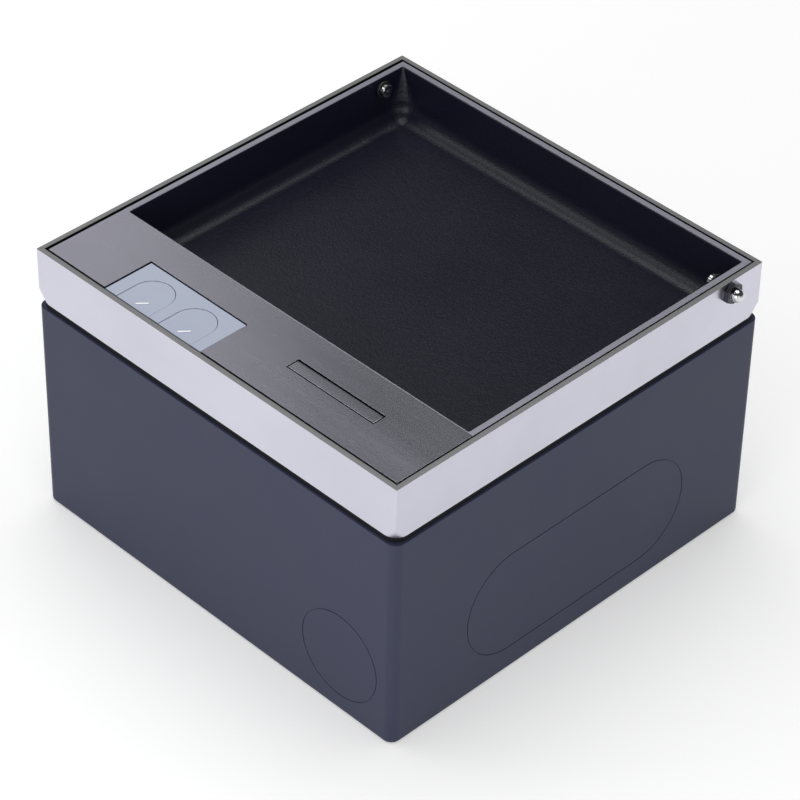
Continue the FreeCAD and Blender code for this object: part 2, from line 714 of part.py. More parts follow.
def lid_tray():
    """The recessed tray: corners that open from sharp at the rim to ball-shaped at the floor."""
    piece = Piece("lid_tray")
    waist = f"({TRAY_FOOT} + tray_foot_height)"
    tub = piece.sketch(level=TRAY_FOOT)
    tray_outline(tub, "0", "tray_corner_radius + tray_wall")
    piece.pad(tub, f"{RING_FOOT} - {TRAY_FOOT}")
    lip_foot = f"({RING_FOOT} - tray_flange_thickness)"
    collar = piece.sketch(level=lip_foot)
    tray_outline(collar, "0", "tray_top_radius")
    piece.pad(collar, f"{TOP} - {lip_foot}")
    lip = piece.sketch(level=lip_foot)
    rectangle(lip, f"{TRAY_LEFT} - tray_flange", f"{TRAY_RIGHT} + tray_flange",
              f"{STRIP_REAR}", f"{TRAY_REAR} + tray_flange")
    piece.pad(lip, "tray_flange_thickness")
    front_lip = piece.sketch(level=f"{PLATE_UNDER} - tray_flange_thickness")
    rectangle(front_lip, TRAY_LEFT, TRAY_RIGHT,
              f"{STRIP_REAR} - tray_front_flange", f"{STRIP_REAR} + tray_wall")
    piece.pad(front_lip, "tray_flange_thickness")

    mouth = piece.sketch(level=TOP)
    tray_outline(mouth, "tray_wall", "tray_top_radius")
    throat = piece.sketch(level=waist)
    tray_outline(throat, "tray_wall", "tray_corner_radius")
    piece.loft("PartDesign::SubtractiveLoft", mouth, throat)
    floor = piece.sketch(level=waist)
    tray_outline(floor, "tray_wall", "tray_corner_radius")
    piece.pocket(floor, "tray_foot_height - tray_floor")
    bottom = value(f"{TOP} - tray_depth")
    piece.round_off(lambda edge: at_level(edge, bottom), "tray_corner_radius")
    under = value(TRAY_FOOT)
    piece.bevel(lambda edge: at_level(edge, under),
                "(2 - sqrt(2)) * (tray_corner_radius + tray_wall)")

    hinge_hole = piece.sketch("YZ_Plane", f"{LID_RIGHT}")
    circle(hinge_hole, HINGE_Y, HINGE_Z, BUSH_OUTSIDE)
    piece.pocket(hinge_hole, f"{LID_RIGHT} - {LID_LEFT}")
    holes = piece.sketch(level=PLATE_UNDER)
    for across, along in tray_screw_places():
        circle(holes, across, along, "lid_screw")
    piece.pocket(holes, "tray_flange_thickness")
    return piece


def tray_outline(drawing, inset, radius):
    """Draw the tray's outline, moved in by an inset, with a corner radius."""
    return rounded_rectangle(
        drawing, f"({TRAY_LEFT} + {inset})", f"({TRAY_RIGHT} - {inset})",
        f"({STRIP_REAR} + {inset})", f"({TRAY_REAR} - {inset})", f"({radius})")


def hinge_bush(side_name, side):
    """One flanged nylon bush, pressed through the lid's lip and tray wall from inside."""
    piece = Piece(f"hinge_bush_{side_name}")
    wall = TRAY_RIGHT if side > 0 else TRAY_LEFT
    face = LID_RIGHT if side > 0 else LID_LEFT
    inner = f"({wall} - {side} * tray_wall)"
    collar = f"({inner} - {side} * bush_flange_thickness)"
    bore = "(hinge_shoulder / 2 + running_clearance)"
    section = piece.sketch("XY_Plane", HINGE_Z)
    section.setExpression("AttachmentOffset.Base.y", expand(HINGE_Y))
    outline(section, [(face, bore), (collar, bore), (collar, "bush_flange / 2"),
                      (inner, "bush_flange / 2"), (inner, f"{BUSH_OUTSIDE} / 2"),
                      (face, f"{BUSH_OUTSIDE} / 2")])
    piece.revolve(section, "H_Axis")
    return piece


def hinge_screw(side_name, side):
    """One shoulder screw: socket head in the tray, shoulder as pivot, thread through the frame."""
    piece = Piece(f"hinge_screw_{side_name}")
    wall = TRAY_RIGHT if side > 0 else TRAY_LEFT
    seat = f"({wall} - {side} * (tray_wall + bush_flange_thickness + hinge_end_play))"
    head = f"({seat} - {side} * hinge_head_height)"
    shoulder_end = f"({side} * {FRAME_INNER})"
    tip = f"({side} * (frame_side / 2 + cap_nut_hex_height))"
    section = piece.sketch("XY_Plane", HINGE_Z)
    section.setExpression("AttachmentOffset.Base.y", expand(HINGE_Y))
    outline(section, [(head, "0"), (head, "hinge_head / 2"), (seat, "hinge_head / 2"),
                      (seat, "hinge_shoulder / 2"), (shoulder_end, "hinge_shoulder / 2"),
                      (shoulder_end, "hinge_thread / 2"), (tip, "hinge_thread / 2"), (tip, "0")])
    piece.revolve(section, "H_Axis")
    socket = piece.sketch("YZ_Plane", head)
    hexagon(socket, HINGE_Y, HINGE_Z, "hinge_socket")
    piece.pocket(socket, "hinge_socket_depth", backwards=side > 0)
    return piece


def cap_nut(side_name, side):
    """One domed nut that clamps a hinge screw's shoulder against the frame."""
    piece = Piece(f"cap_nut_{side_name}")
    face = f"({side} * frame_side / 2)"
    hexagon_sketch = piece.sketch("YZ_Plane", face)
    hexagon(hexagon_sketch, HINGE_Y, HINGE_Z, "cap_nut_flats")
    piece.pad(hexagon_sketch, "cap_nut_hex_height", backwards=side < 0)
    end = f"({face} + {side} * cap_nut_height)"
    shoulder = f"({end} - {side} * cap_nut_dome * 0.45)"
    waist = f"({end} - {side} * cap_nut_dome * 0.2)"
    section = piece.sketch("XY_Plane", HINGE_Z)
    section.setExpression("AttachmentOffset.Base.y", expand(HINGE_Y))
    outline(section, [(face, "0"), (face, "cap_nut_dome * 0.5"), (shoulder, "cap_nut_dome * 0.5"),
                      (waist, "cap_nut_dome * 0.42"), (end, "cap_nut_dome * 0.2"), (end, "0")])
    piece.revolve(section, "H_Axis")
    bore = piece.sketch("YZ_Plane", face)
    circle(bore, HINGE_Y, HINGE_Z, "hinge_thread")
    piece.pocket(bore, "cap_nut_hex_height", backwards=side > 0)
    return piece


def flap_middles():
    """Give the X places of the two cable flaps."""
    return {"left": f"({OUTLET_LEFT} + flap_first)",
            "right": f"({OUTLET_LEFT} + flap_first + flap_pitch)"}


def outlet_body():
    """The plastic cable outlet: a block with two U-shaped wells under its flaps."""
    piece = Piece("outlet_body")
    block = piece.sketch(level=OUTLET_FOOT)
    rectangle(block, OUTLET_LEFT, OUTLET_RIGHT, OUTLET_FRONT, OUTLET_REAR)
    piece.pad(block, "outlet_height")
    flange = piece.sketch(level=f"{PLATE_UNDER} - outlet_flange_thickness")
    rectangle(flange, f"{OUTLET_LEFT} - outlet_flange", f"{OUTLET_RIGHT} + outlet_flange",
              OUTLET_FRONT, OUTLET_REAR)
    piece.pad(flange, "outlet_flange_thickness")
    for middle in flap_middles().values():
        width = "(flap_width + 2 * flap_gap)"
        tip = f"({OUTLET_FRONT} + flap_reach + flap_gap)"
        seat = piece.sketch(level=TOP)
        arch(seat, middle, f"{OUTLET_FRONT} - flap_gap", tip, width)
        piece.pocket(seat, "flap_thickness")
        well = piece.sketch(level=TOP)
        arch(well, middle, f"{OUTLET_FRONT} + outlet_front_wall", tip, width)
        piece.pocket(well, "outlet_height")
        bearing = piece.sketch(
            "YZ_Plane", f"{middle} + flap_width / 2 + flap_trunnion_length + flap_gap")
        circle(bearing, FLAP_AXIS_Y, FLAP_AXIS_Z, "flap_trunnion + 2 * running_clearance")
        piece.pocket(bearing, "flap_width + 2 * (flap_trunnion_length + flap_gap)")
    holes = piece.sketch(level=PLATE_UNDER)
    for across, along in outlet_screw_places():
        circle(holes, across, along, "lid_screw")
    piece.pocket(holes, "outlet_flange_thickness")
    return piece


def cable_flap(side_name, middle):
    """One U-shaped cable flap with its two moulded trunnions."""
    piece = Piece(f"flap_{side_name}")
    leaf = piece.sketch(level=f"{TOP} - flap_thickness")
    arch(leaf, middle, OUTLET_FRONT, f"{OUTLET_FRONT} + flap_reach", "flap_width")
    piece.pad(leaf, "flap_thickness")
    trunnion = piece.sketch("YZ_Plane", f"{middle} - flap_width / 2 - flap_trunnion_length")
    circle(trunnion, FLAP_AXIS_Y, FLAP_AXIS_Z, "flap_trunnion")
    piece.pad(trunnion, "flap_width + 2 * flap_trunnion_length")
    return piece


def pull_handle():
    """The flush handle: a plate that fills the strip's slot, round along its pivot edge."""
    piece = Piece("pull_handle")
    plate = piece.sketch(level=f"{TOP} - handle_thickness")
    middle_rectangle(plate, HANDLE_MIDDLE, f"({HANDLE_FRONT} + {HANDLE_REAR}) / 2",
                     "handle_length", "handle_width")
    piece.pad(plate, "handle_thickness")
    rear = value(HANDLE_REAR)
    piece.round_off(
        lambda edge: edge.BoundBox.YMin > rear - 0.01 and edge.BoundBox.XLength > 1.0,
        "handle_thickness / 2 - running_clearance")
    bore = piece.sketch("YZ_Plane", f"{HANDLE_MIDDLE} + handle_length / 2")
    circle(bore, HANDLE_AXIS_Y, HANDLE_AXIS_Z, "handle_pin + 2 * running_clearance")
    piece.pocket(bore, "handle_length")
    return piece


def handle_pin():
    """The steel pin that the handle turns on, held in the ends of the strip's slot."""
    piece = Piece("handle_pin")
    end = f"({HANDLE_MIDDLE} - {SLOT_HALF} - handle_pin_seat)"
    rod = piece.sketch("YZ_Plane", end)
    circle(rod, HANDLE_AXIS_Y, HANDLE_AXIS_Z, "handle_pin")
    piece.pad(rod, f"2 * ({SLOT_HALF} + handle_pin_seat)")
    return piece


def handle_housing():
    """The plastic cup that closes the slot under the handle, with an ear at each end."""
    piece = Piece("handle_housing")
    front = f"({HANDLE_FRONT} - handle_gap - housing_wall)"
    rear = f"({HANDLE_REAR} + handle_rear_gap + housing_wall)"
    half = f"({SLOT_HALF} + housing_wall)"
    cup = piece.sketch(level=f"{PLATE_UNDER} - housing_depth")
    rectangle(cup, f"{HANDLE_MIDDLE} - {half}", f"{HANDLE_MIDDLE} + {half}", front, rear)
    piece.pad(cup, "housing_depth")
    ears = piece.sketch(level=f"{PLATE_UNDER} - housing_ear_thickness")
    long_half = f"({half} + housing_ear)"
    rectangle(ears, f"{HANDLE_MIDDLE} - {long_half}", f"{HANDLE_MIDDLE} + {long_half}", front, rear)
    piece.pad(ears, "housing_ear_thickness")
    cavity = piece.sketch(level=PLATE_UNDER)
    rectangle(cavity, f"{HANDLE_MIDDLE} - {SLOT_HALF}", f"{HANDLE_MIDDLE} + {SLOT_HALF}",
              f"{HANDLE_FRONT} + housing_ledge", f"{HANDLE_REAR} + handle_rear_gap")
    piece.pocket(cavity, "housing_depth - housing_wall")
    holes = piece.sketch(level=PLATE_UNDER)
    for across, along in housing_screw_places():
        circle(holes, across, along, "lid_screw")
    piece.pocket(holes, "housing_ear_thickness")
    return piece


def module_middles():
    """Give the X places of the four device modules, by name, from left to right."""
    names = ["power_socket_left", "power_socket_right", "data_socket_left", "data_socket_right"]
    return {name: f"({index - 1.5} * module_pitch)" for index, name in enumerate(names)}


def device_plate():
    """The folded steel plate across the box that carries the device modules."""
    piece = Piece("device_plate")
    middle = "device_plate_middle"
    length = f"2 * {PLATE_HALF}"
    plate = piece.sketch(level="device_level")
    middle_rectangle(plate, "0", middle, length, PLATE_WIDTH)
    piece.pad(plate, "device_plate_thickness")
    for end in (-1, 1):
        fold = piece.sketch(level="device_level - device_edge_fold")
        across = f"({middle} + {end} * ({PLATE_WIDTH} - device_plate_thickness) / 2)"
        middle_rectangle(fold, "0", across, length, "device_plate_thickness")
        piece.pad(fold, "device_edge_fold")
    cutouts = piece.sketch(level="device_level + device_plate_thickness")
    for across in module_middles().values():
        side = "module_body + 2 * module_cutout_clearance"
        middle_rectangle(cutouts, across, middle, side, side)
    for across, along in device_post_places():
        circle(cutouts, across, along, "post_screw")
    circle(cutouts, "0", EARTH_Y, "earth_stud_diameter")
    piece.pocket(cutouts, "device_plate_thickness")
    return piece


def module_blank(name, across):
    """The common part of a device module: its face and the body behind the plate."""
    piece = Piece(name)
    middle = "device_plate_middle"
    face = piece.sketch(level="device_level + device_plate_thickness")
    left = f"({across} - module_side / 2)"
    right = f"({across} + module_side / 2)"
    low = f"({middle} - module_side / 2)"
    high = f"({middle} + module_side / 2)"
    rounded_rectangle(face, left, right, low, high, "module_corner")
    piece.pad(face, "module_face")
    body = piece.sketch(level="device_level + device_plate_thickness - module_depth")
    middle_rectangle(body, across, middle, "module_body", "module_body")
    piece.pad(body, "module_depth")
    return piece


def power_socket(name, across):
    """A power module: an upright pair of slots over two leaning slots and an earth slot."""
    piece = module_blank(name, across)
    middle = "device_plate_middle"
    slots = piece.sketch(level=MODULE_FACE_TOP)
    for side in (-1, 1):
        middle_rectangle(slots, f"{across} + {side} * pair_spacing / 2", f"{middle} + pair_rise",
                         "slot_width", "slot_length")
        slanted_slot(slots, f"{across} + {side} * slant_spacing / 2", f"{middle} - slant_drop",
                     f"{-side} * slant_lean")
    middle_rectangle(slots, across, f"{middle} - earth_slot_drop", "slot_width", "slot_length")
    piece.pocket(slots, "slot_depth")
    return piece


def data_socket(name, across):
    """A data module with two ports, each with the keyway for a plug's latch."""
    piece = module_blank(name, across)
    middle = "device_plate_middle"
    ports = piece.sketch(level=MODULE_FACE_TOP)
    for side in (-1, 1):
        port = f"({across} + {side} * port_spacing / 2)"
        half = "port_width / 2"
        key = "port_key_width / 2"
        base = f"({middle} - port_height / 2)"
        shoulder = f"({middle} + port_height / 2)"
        crown = f"({shoulder} + port_key_height)"
        outline(ports, [(f"{port} - {half}", base), (f"{port} + {half}", base),
                        (f"{port} + {half}", shoulder), (f"{port} + {key}", shoulder),
                        (f"{port} + {key}", crown), (f"{port} - {key}", crown),
                        (f"{port} - {key}", shoulder), (f"{port} - {half}", shoulder)])
    piece.pocket(ports, "port_depth")
    return piece


def earth_stud():
    """The brass earth stud through the device plate."""
    piece = Piece("earth_stud")
    rod = piece.sketch(level="device_level + device_plate_thickness / 2 - earth_stud_length / 2")
    circle(rod, "0", EARTH_Y, "earth_stud_diameter")
    piece.pad(rod, "earth_stud_length")
    return piece


def tray_screw_places():
    """Give the places of the screws that hold the tray's front flange to the strip."""
    along = f"({STRIP_REAR} - tray_front_flange / 2)"
    middle = f"({TRAY_LEFT} + {TRAY_RIGHT}) / 2"
    span = f"({TRAY_RIGHT} - {TRAY_LEFT})"
    return [(f"{middle} + {share} * {span}", along) for share in (-0.45, -0.15, 0.15, 0.45)]


def outlet_screw_places():
    """Give the places of the screws through the cable outlet's flange."""
    reach_out = "outlet_flange / 2 + outlet_gap_left / 2"
    along = f"({OUTLET_REAR} - outlet_flange)"
    return [(f"{OUTLET_LEFT} - ({reach_out})", along), (f"{OUTLET_RIGHT} + ({reach_out})", along)]


def housing_screw_places():
    """Give the places of the screws through the handle housing's ears."""
    along = f"({HANDLE_FRONT} + {HANDLE_REAR}) / 2"
    out = f"({SLOT_HALF} + housing_wall + housing_ear / 2)"
    return [(f"{HANDLE_MIDDLE} - {out}", along), (f"{HANDLE_MIDDLE} + {out}", along)]


def primitive(kind, name, sizes, place):
    """Add a Part primitive with its sizes and place bound to the sheet."""
    solid = document.addObject(kind, name)
    for key, expression in sizes.items():
        solid.setExpression(key, expand(expression))
    for key, expression in zip("xyz", place):
        solid.setExpression(f"Placement.Base.{key}", expand(expression))
    return solid


def joined(kind, name, members):
    """Join primitives into one boolean or compound object."""
    result = document.addObject(kind, name)
    if kind == "Part::Cut":
        result.Base, result.Tool = members
    elif kind == "Part::Compound":
        result.Links = members
    else:
        result.Shapes = members
    return result


def hexagon_screws(name, places, under_head, shank, length, head, head_height, points_up=False):
    """A group of hexagon-headed screws, one solid at each place."""
    screws = []
    for index, (across, along) in enumerate(places):
        tag = f"{name}_{index}"
        shank_foot = under_head if points_up else f"{under_head} - ({length})"
        head_foot = f"{under_head} - ({head_height})" if points_up else under_head
        rod = primitive("Part::Cylinder", f"{tag}_shank",
                        {"Radius": f"({shank}) / 2", "Height": length},
                        (across, along, shank_foot))
        cap = primitive("Part::Prism", f"{tag}_head",
                        {"Circumradius": f"({head}) / 2", "Height": head_height},
                        (across, along, head_foot))
        screws.append(joined("Part::MultiFuse", f"{tag}_screw", [rod, cap]))
    group = joined("Part::Compound", name, screws)
    group.Label = name
    return group


def base_screws():
    """The countersunk screws that hold the frame plate to the box's corner posts."""
    screws = []
    depth = "((base_screw_head - post_screw) / 2)"
    for index, (across, along) in enumerate(corner_places(POST_PLACE, POST_PLACE)):
        tag = f"base_screws_{index}"
        rod = primitive("Part::Cylinder", f"{tag}_shank",
                        {"Radius": "post_screw / 2", "Height": "base_screw_length"},
                        (across, along, f"{BASE_TOP} - base_screw_length"))
        cone = primitive("Part::Cone", f"{tag}_head",
                         {"Radius1": "post_screw / 2", "Radius2": "base_screw_head / 2",
                          "Height": depth},
                         (across, along, f"{BASE_TOP} - {depth}"))
        screws.append(joined("Part::MultiFuse", f"{tag}_screw", [rod, cone]))
    group = joined("Part::Compound", "base_screws", screws)
    group.Label = "base_screws"
    return group


def block_group(name, places, length, width, height, level):
    """A group of plain blocks, one at each middle place, standing on a level."""
    blocks = []
    for index, (across, along) in enumerate(places):
        blocks.append(primitive(
            "Part::Box", f"{name}_{index}", {"Length": length, "Width": width, "Height": height},
            (f"{across} - ({length}) / 2", f"{along} - ({width}) / 2", level)))
    group = joined("Part::Compound", name, blocks)
    group.Label = name
    return group


def lid_rests():
    """Two steel blocks welded inside the front of the frame, and the rubber pads on them."""
    across = f"({FRAME_INNER} - rest_inset - {REST_LENGTH} / 2)"
    along = f"(rest_depth / 2 - {FRAME_INNER})"
    places = [(f"{side} * {across}", along) for side in SIDES.values()]
    top = f"({PLATE_UNDER} - rest_pad)"
    block_group("lid_rests", places, REST_LENGTH, "rest_depth", "rest_height",
                f"{top} - rest_height")
    block_group("rest_pads", places, REST_LENGTH, "rest_depth", "rest_pad", top)


def seat_strips():
    """The two rubber strips on the frame plate that the tray's sides rest on."""
    inner = f"({FRAME_INNER} - base_ledge)"
    across = f"({inner} + seat_strip_inset + seat_strip_width / 2)"
    front = f"({STRIP_REAR} + seat_strip_front_gap)"
    rear = f"({FRAME_INNER} - base_rear_ledge - base_notch_length - seat_strip_inset)"
    places = [(f"{side} * {across}", f"({front} + {rear}) / 2") for side in SIDES.values()]
    block_group("seat_strips", places, "seat_strip_width", f"({rear} - {front})",
                f"{TRAY_FOOT} - {BASE_TOP}", BASE_TOP)


def earth_nuts():
    """The two brass nuts that clamp the earth stud to the device plate."""
    nuts = []
    for index, level in enumerate(["device_level - earth_nut_height",
                                   "device_level + device_plate_thickness"]):
        place = ("0", EARTH_Y, level)
        block = primitive("Part::Prism", f"earth_nut_{index}_block",
                          {"Circumradius": "earth_nut_flats / sqrt(3)",
                           "Height": "earth_nut_height"}, place)
        hole = primitive("Part::Cylinder", f"earth_nut_{index}_hole",
                         {"Radius": "earth_stud_diameter / 2", "Height": "earth_nut_height"},
                         place)
        nuts.append(joined("Part::Cut", f"earth_nut_{index}_cut", [block, hole]))
    group = joined("Part::Compound", "earth_nuts", nuts)
    group.Label = "earth_nuts"
    return group


def build():
    """Make every piece and give the names of those that are written out."""
    back_box()
    box_gasket()
    frame_skirt()
    frame_base()
    base_screws()
    lid_rests()
    seat_strips()
    lid_frame()
    lid_tray()
    hexagon_screws("tray_screws", tray_screw_places(),
                   f"({PLATE_UNDER} - tray_flange_thickness)",
                   "lid_screw", "tray_flange_thickness + lid_screw_bite", "lid_screw_head",
                   "lid_screw_head_height", points_up=True)
    for side_name, side in SIDES.items():
        hinge_bush(side_name, side)
        hinge_screw(side_name, side)
        cap_nut(side_name, side)
    outlet_body()
    hexagon_screws("outlet_screws", outlet_screw_places(),
                   f"({PLATE_UNDER} - outlet_flange_thickness)",
                   "lid_screw", "outlet_flange_thickness + lid_screw_bite", "lid_screw_head",
                   "lid_screw_head_height", points_up=True)
    for side_name, middle in flap_middles().items():
        cable_flap(side_name, middle)
    pull_handle()
    handle_pin()
    handle_housing()
    hexagon_screws("housing_screws", housing_screw_places(),
                   f"({PLATE_UNDER} - housing_ear_thickness)",
                   "lid_screw", "housing_ear_thickness + lid_screw_bite", "lid_screw_head",
                   "lid_screw_head_height", points_up=True)
    device_plate()
    hexagon_screws("device_screws", device_post_places(),
                   "(device_level + device_plate_thickness)",
                   "post_screw", "post_pilot_depth", "2 * post_screw", "post_screw / 1.5")
    for name, across in module_middles().items():
        if name.startswith("power"):
            power_socket(name, across)
        else:
            data_socket(name, across)
    earth_stud()
    earth_nuts()
    document.recompute()


def kept_pieces():
    """List the objects that are whole pieces: bodies and the groups of like solids."""
    return [item for item in document.Objects
            if item.TypeId in ("PartDesign::Body", "Part::Compound")]


def write_parts():
    """Check every object, then write each piece to its own file."""
    for item in document.Objects:
        if "Invalid" in item.State or "Error" in item.State:
            raise ValueError(f"{item.Name} did not build: {item.State}")
    for item in kept_pieces():
        if item.Shape.isNull() or not item.Shape.isValid():
            raise ValueError(f"{item.Label} has no valid shape")
    os.makedirs("parts", exist_ok=True)
    for item in kept_pieces():
        item.Shape.exportStep(f"parts/{item.Label}.step")


build()
write_parts()
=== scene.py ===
"""A flush floor socket box: satin steel frame and lid, black tray, cable outlet, slate back box.

All sizes are metres in the frame's own axes: +Z up, the strip at -Y, the hinge near +Y.
"""
import json
import logging
import math
from dataclasses import dataclass, replace
from enum import Enum
from typing import Dict, Iterable, List, Optional, Sequence, Tuple, Union

import bmesh
import bpy
from mathutils import Matrix, Quaternion, Vector


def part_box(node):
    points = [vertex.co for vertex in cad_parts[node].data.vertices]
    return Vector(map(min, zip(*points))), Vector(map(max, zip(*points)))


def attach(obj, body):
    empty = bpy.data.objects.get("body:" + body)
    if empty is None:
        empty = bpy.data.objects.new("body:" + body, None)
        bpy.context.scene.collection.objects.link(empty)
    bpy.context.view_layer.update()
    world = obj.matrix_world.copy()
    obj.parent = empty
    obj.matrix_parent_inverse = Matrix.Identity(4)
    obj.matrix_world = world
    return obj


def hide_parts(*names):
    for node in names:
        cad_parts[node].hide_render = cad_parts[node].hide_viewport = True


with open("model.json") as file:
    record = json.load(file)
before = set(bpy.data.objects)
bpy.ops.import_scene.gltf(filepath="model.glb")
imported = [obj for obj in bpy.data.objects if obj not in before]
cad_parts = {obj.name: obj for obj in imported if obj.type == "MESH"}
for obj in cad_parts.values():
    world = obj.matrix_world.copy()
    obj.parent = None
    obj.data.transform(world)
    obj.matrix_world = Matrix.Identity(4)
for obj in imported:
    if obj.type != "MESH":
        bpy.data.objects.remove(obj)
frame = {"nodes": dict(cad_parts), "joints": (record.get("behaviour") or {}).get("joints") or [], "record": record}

log = logging.getLogger("floor_box")

Color = Tuple[float, float, float]
Triple = Tuple[float, float, float]

MM = 0.001
SHARP = 0.05 * MM
SLACK = 0.01 * MM
APART = 200 * MM
PAST = 1.0 * MM
WELD = SLACK / 20
CORNER_STEPS = 6
BEND_STEPS = 8
ARCH_STEPS = 16
HOLE_STEPS = 24
ROUND_STEPS = 48
NEARLY_HALF = 0.4999
SMOOTH_BELOW = math.radians(32)
FLAT_WITHIN = math.radians(0.5)


class Joining(Enum):
    """How one solid is worked into another."""

    CUT = "DIFFERENCE"
    UNITE = "UNION"
    SHARE = "INTERSECT"


class Ends(Enum):
    """How a loft is closed."""

    CAPPED = "capped"
    RING = "ring"


class Axis(Enum):
    """A direction that a round bar or a hole follows."""

    X = "X"
    Y = "Y"
    Z = "Z"

    def turn(self) -> Matrix:
        """Give the turn that lays the Z axis along this one, with X level and Y upright.

        Returns:
            The turn.
        """
        if self is Axis.X:
            return Matrix.Rotation(math.pi / 2, 4, "Z") @ Matrix.Rotation(math.pi / 2, 4, "X")
        if self is Axis.Y:
            return Matrix.Rotation(math.pi / 2, 4, "X")
        return Matrix.Identity(4)


# Shader wiring


class Wire:
    """A shader socket whose sums and products are written as Python expressions."""

    def __init__(self, desk: "Desk", socket: bpy.types.NodeSocket) -> None:
        """Remember the node tree and the socket."""
        self.desk = desk
        self.socket = socket

    def _maths(self, operation: str, first: "Value", second: "Value") -> "Wire":
        """Add one Math node."""
        return self.desk.add("ShaderNodeMath", {"operation": operation}, {0: first, 1: second})

    def __add__(self, other: "Value") -> "Wire":
        """Add two values."""
        return self._maths("ADD", self, other)

    __radd__ = __add__

    def __sub__(self, other: "Value") -> "Wire":
        """Take a value from this one."""
        return self._maths("SUBTRACT", self, other)

    def __rsub__(self, other: "Value") -> "Wire":
        """Take this value from a number."""
        return self._maths("SUBTRACT", other, self)

    def __mul__(self, other: "Value") -> "Wire":
        """Multiply two values."""
        return self._maths("MULTIPLY", self, other)

    __rmul__ = __mul__


Value = Union[Wire, float]


class Desk:
    """One node tree in hand."""

    def __init__(self, tree: bpy.types.NodeTree) -> None:
        """Remember the tree."""
        self.tree = tree

    def add(self, kind: str, settings: Dict, inputs: Dict, output: Union[int, str] = 0) -> Wire:
        """Add one node.

        Args:
            kind: Blender's name for the node.
            settings: What is set on the node before its sockets, a ramp's stops among them.
            inputs: The value or wire of each socket, by its name or number.
            output: The socket that is used.

        Returns:
            The wire that leaves that socket.
        """
        node = self.tree.nodes.new(kind)
        for key, choice in settings.items():
            if key == "stops":
                for stop, (position, shade) in zip(node.color_ramp.elements, choice):
                    stop.position = position
                    stop.color = (shade, shade, shade, 1.0)
            else:
                setattr(node, key, choice)
        for key, source in inputs.items():
            self.feed(node.inputs[key], source)
        return Wire(self, node.outputs[output])

    def feed(self, socket: bpy.types.NodeSocket, source: Union[Wire, float, Sequence]) -> None:
        """Set a socket to a number or a colour, or join a wire to it.

        Args:
            socket: The node's input.
            source: What it gets.
        """
        if isinstance(source, Wire):
            self.tree.links.new(source.socket, socket)
        else:
            socket.default_value = source

    def ramp(self, source: Wire, first: Tuple[float, float], last: Tuple[float, float]) -> Wire:
        """Turn a value into shades between two stops, each a position and a shade."""
        return self.add("ShaderNodeValToRGB", {"stops": [first, last]}, {0: source})

    def ray(self, kind: str) -> Wire:
        """Tell whether the ray is of one kind."""
        return self.add("ShaderNodeLightPath", {}, {}, kind)


class Bench(Desk):
    """One material's node tree, with the few patterns that the finishes share."""

    def __init__(self, name: str) -> None:
        """Start a material of that name.

        Args:
            name: The material's name.
        """
        self.material = bpy.data.materials.new(name)
        self.material.use_nodes = True
        super().__init__(self.material.node_tree)
        self.shader = self.tree.nodes["Principled BSDF"]
        self.place = self.add("ShaderNodeTexCoord", {}, {}, "Object")

    def along(self, axis: str) -> Wire:
        """Give the object's coordinate along one axis."""
        return self.add("ShaderNodeSeparateXYZ", {}, {0: self.place}, axis)

    def over(self, value: Value, limit: Value) -> Wire:
        """Give one where a value is greater than a limit, and nought elsewhere."""
        return self.add("ShaderNodeMath", {"operation": "GREATER_THAN"}, {0: value, 1: limit})

    def stretched(self, stretch: Triple) -> Wire:
        """Give the object's coordinates, each axis stretched by a factor."""
        inputs = {"Vector": self.place, "Scale": stretch}
        return self.add("ShaderNodeMapping", {}, inputs)

    def noise(self, size: float, detail: float = 2.0, stretch: Triple = (1, 1, 1)) -> Wire:
        """Give a soft noise whose lumps are about a size in metres."""
        inputs = {"Vector": self.stretched(stretch), "Scale": 1 / size, "Detail": detail}
        return self.add("ShaderNodeTexNoise", {}, inputs)

    def pebbles(self, size: float) -> Wire:
        """Give rounded cells of about a size in metres.

        Args:
            size: How wide a cell is.

        Returns:
            The distance from each cell's middle.
        """
        inputs = {"Vector": self.place, "Scale": 1 / size, "Smoothness": 0.6}
        settings = {"feature": "SMOOTH_F1"}
        return self.add("ShaderNodeTexVoronoi", settings, inputs, "Distance")

    def blend(self, share: Value, first: Union[Wire, Color],
              second: Union[Wire, Color]) -> Wire:
        """Mix two colours, or wires that carry one, by a share.

        Args:
            share: The second colour's share.
            first: The first colour.
            second: The second colour.

        Returns:
            The mixed colour.
        """
        ends = [end if isinstance(end, Wire) else (*end, 1.0) for end in (first, second)]
        inputs = {0: share, 6: ends[0], 7: ends[1]}
        return self.add("ShaderNodeMix", {"data_type": "RGBA"}, inputs, 2)

    def bump(self, height: Wire, depth: float, strength: float = 1.0) -> Wire:
        """Raise the surface by a pattern, to a depth in metres."""
        inputs = {"Height": height, "Distance": depth, "Strength": strength}
        return self.add("ShaderNodeBump", {}, inputs)

    def dress(self, **sockets: Union[Wire, float, Sequence]) -> bpy.types.Material:
        """Set the shader's sockets, named with underscores for spaces, and give the material.

        Args:
            sockets: Each socket's value or wire.

        Returns:
            The material.
        """
        for key, source in sockets.items():
            self.feed(self.shader.inputs[key.replace("_", " ")], source)
        return self.material


def shaded(color: Color, factor: float) -> Color:
    """Give a colour lightened or darkened by a factor."""
    return tuple(min(1.0, part * factor) for part in color)


@dataclass(frozen=True)
class Finish:
    """A surface finish for one of the record's slots."""

    name: str
    color: Color
    roughness: float = 0.5

    def make(self) -> bpy.types.Material:
        """Build the finish's material."""
        raise NotImplementedError

    def shade(self, bench: Bench, color: Wire) -> Wire:
        """Change the colour in places, or leave it as it is."""
        return color

    def toned(self, bench: Bench, share: Value, darker: float, lighter: float) -> Wire:
        """Mix two shades of the colour, each given as a factor, by a share."""
        return bench.blend(share, shaded(self.color, darker), shaded(self.color, lighter))


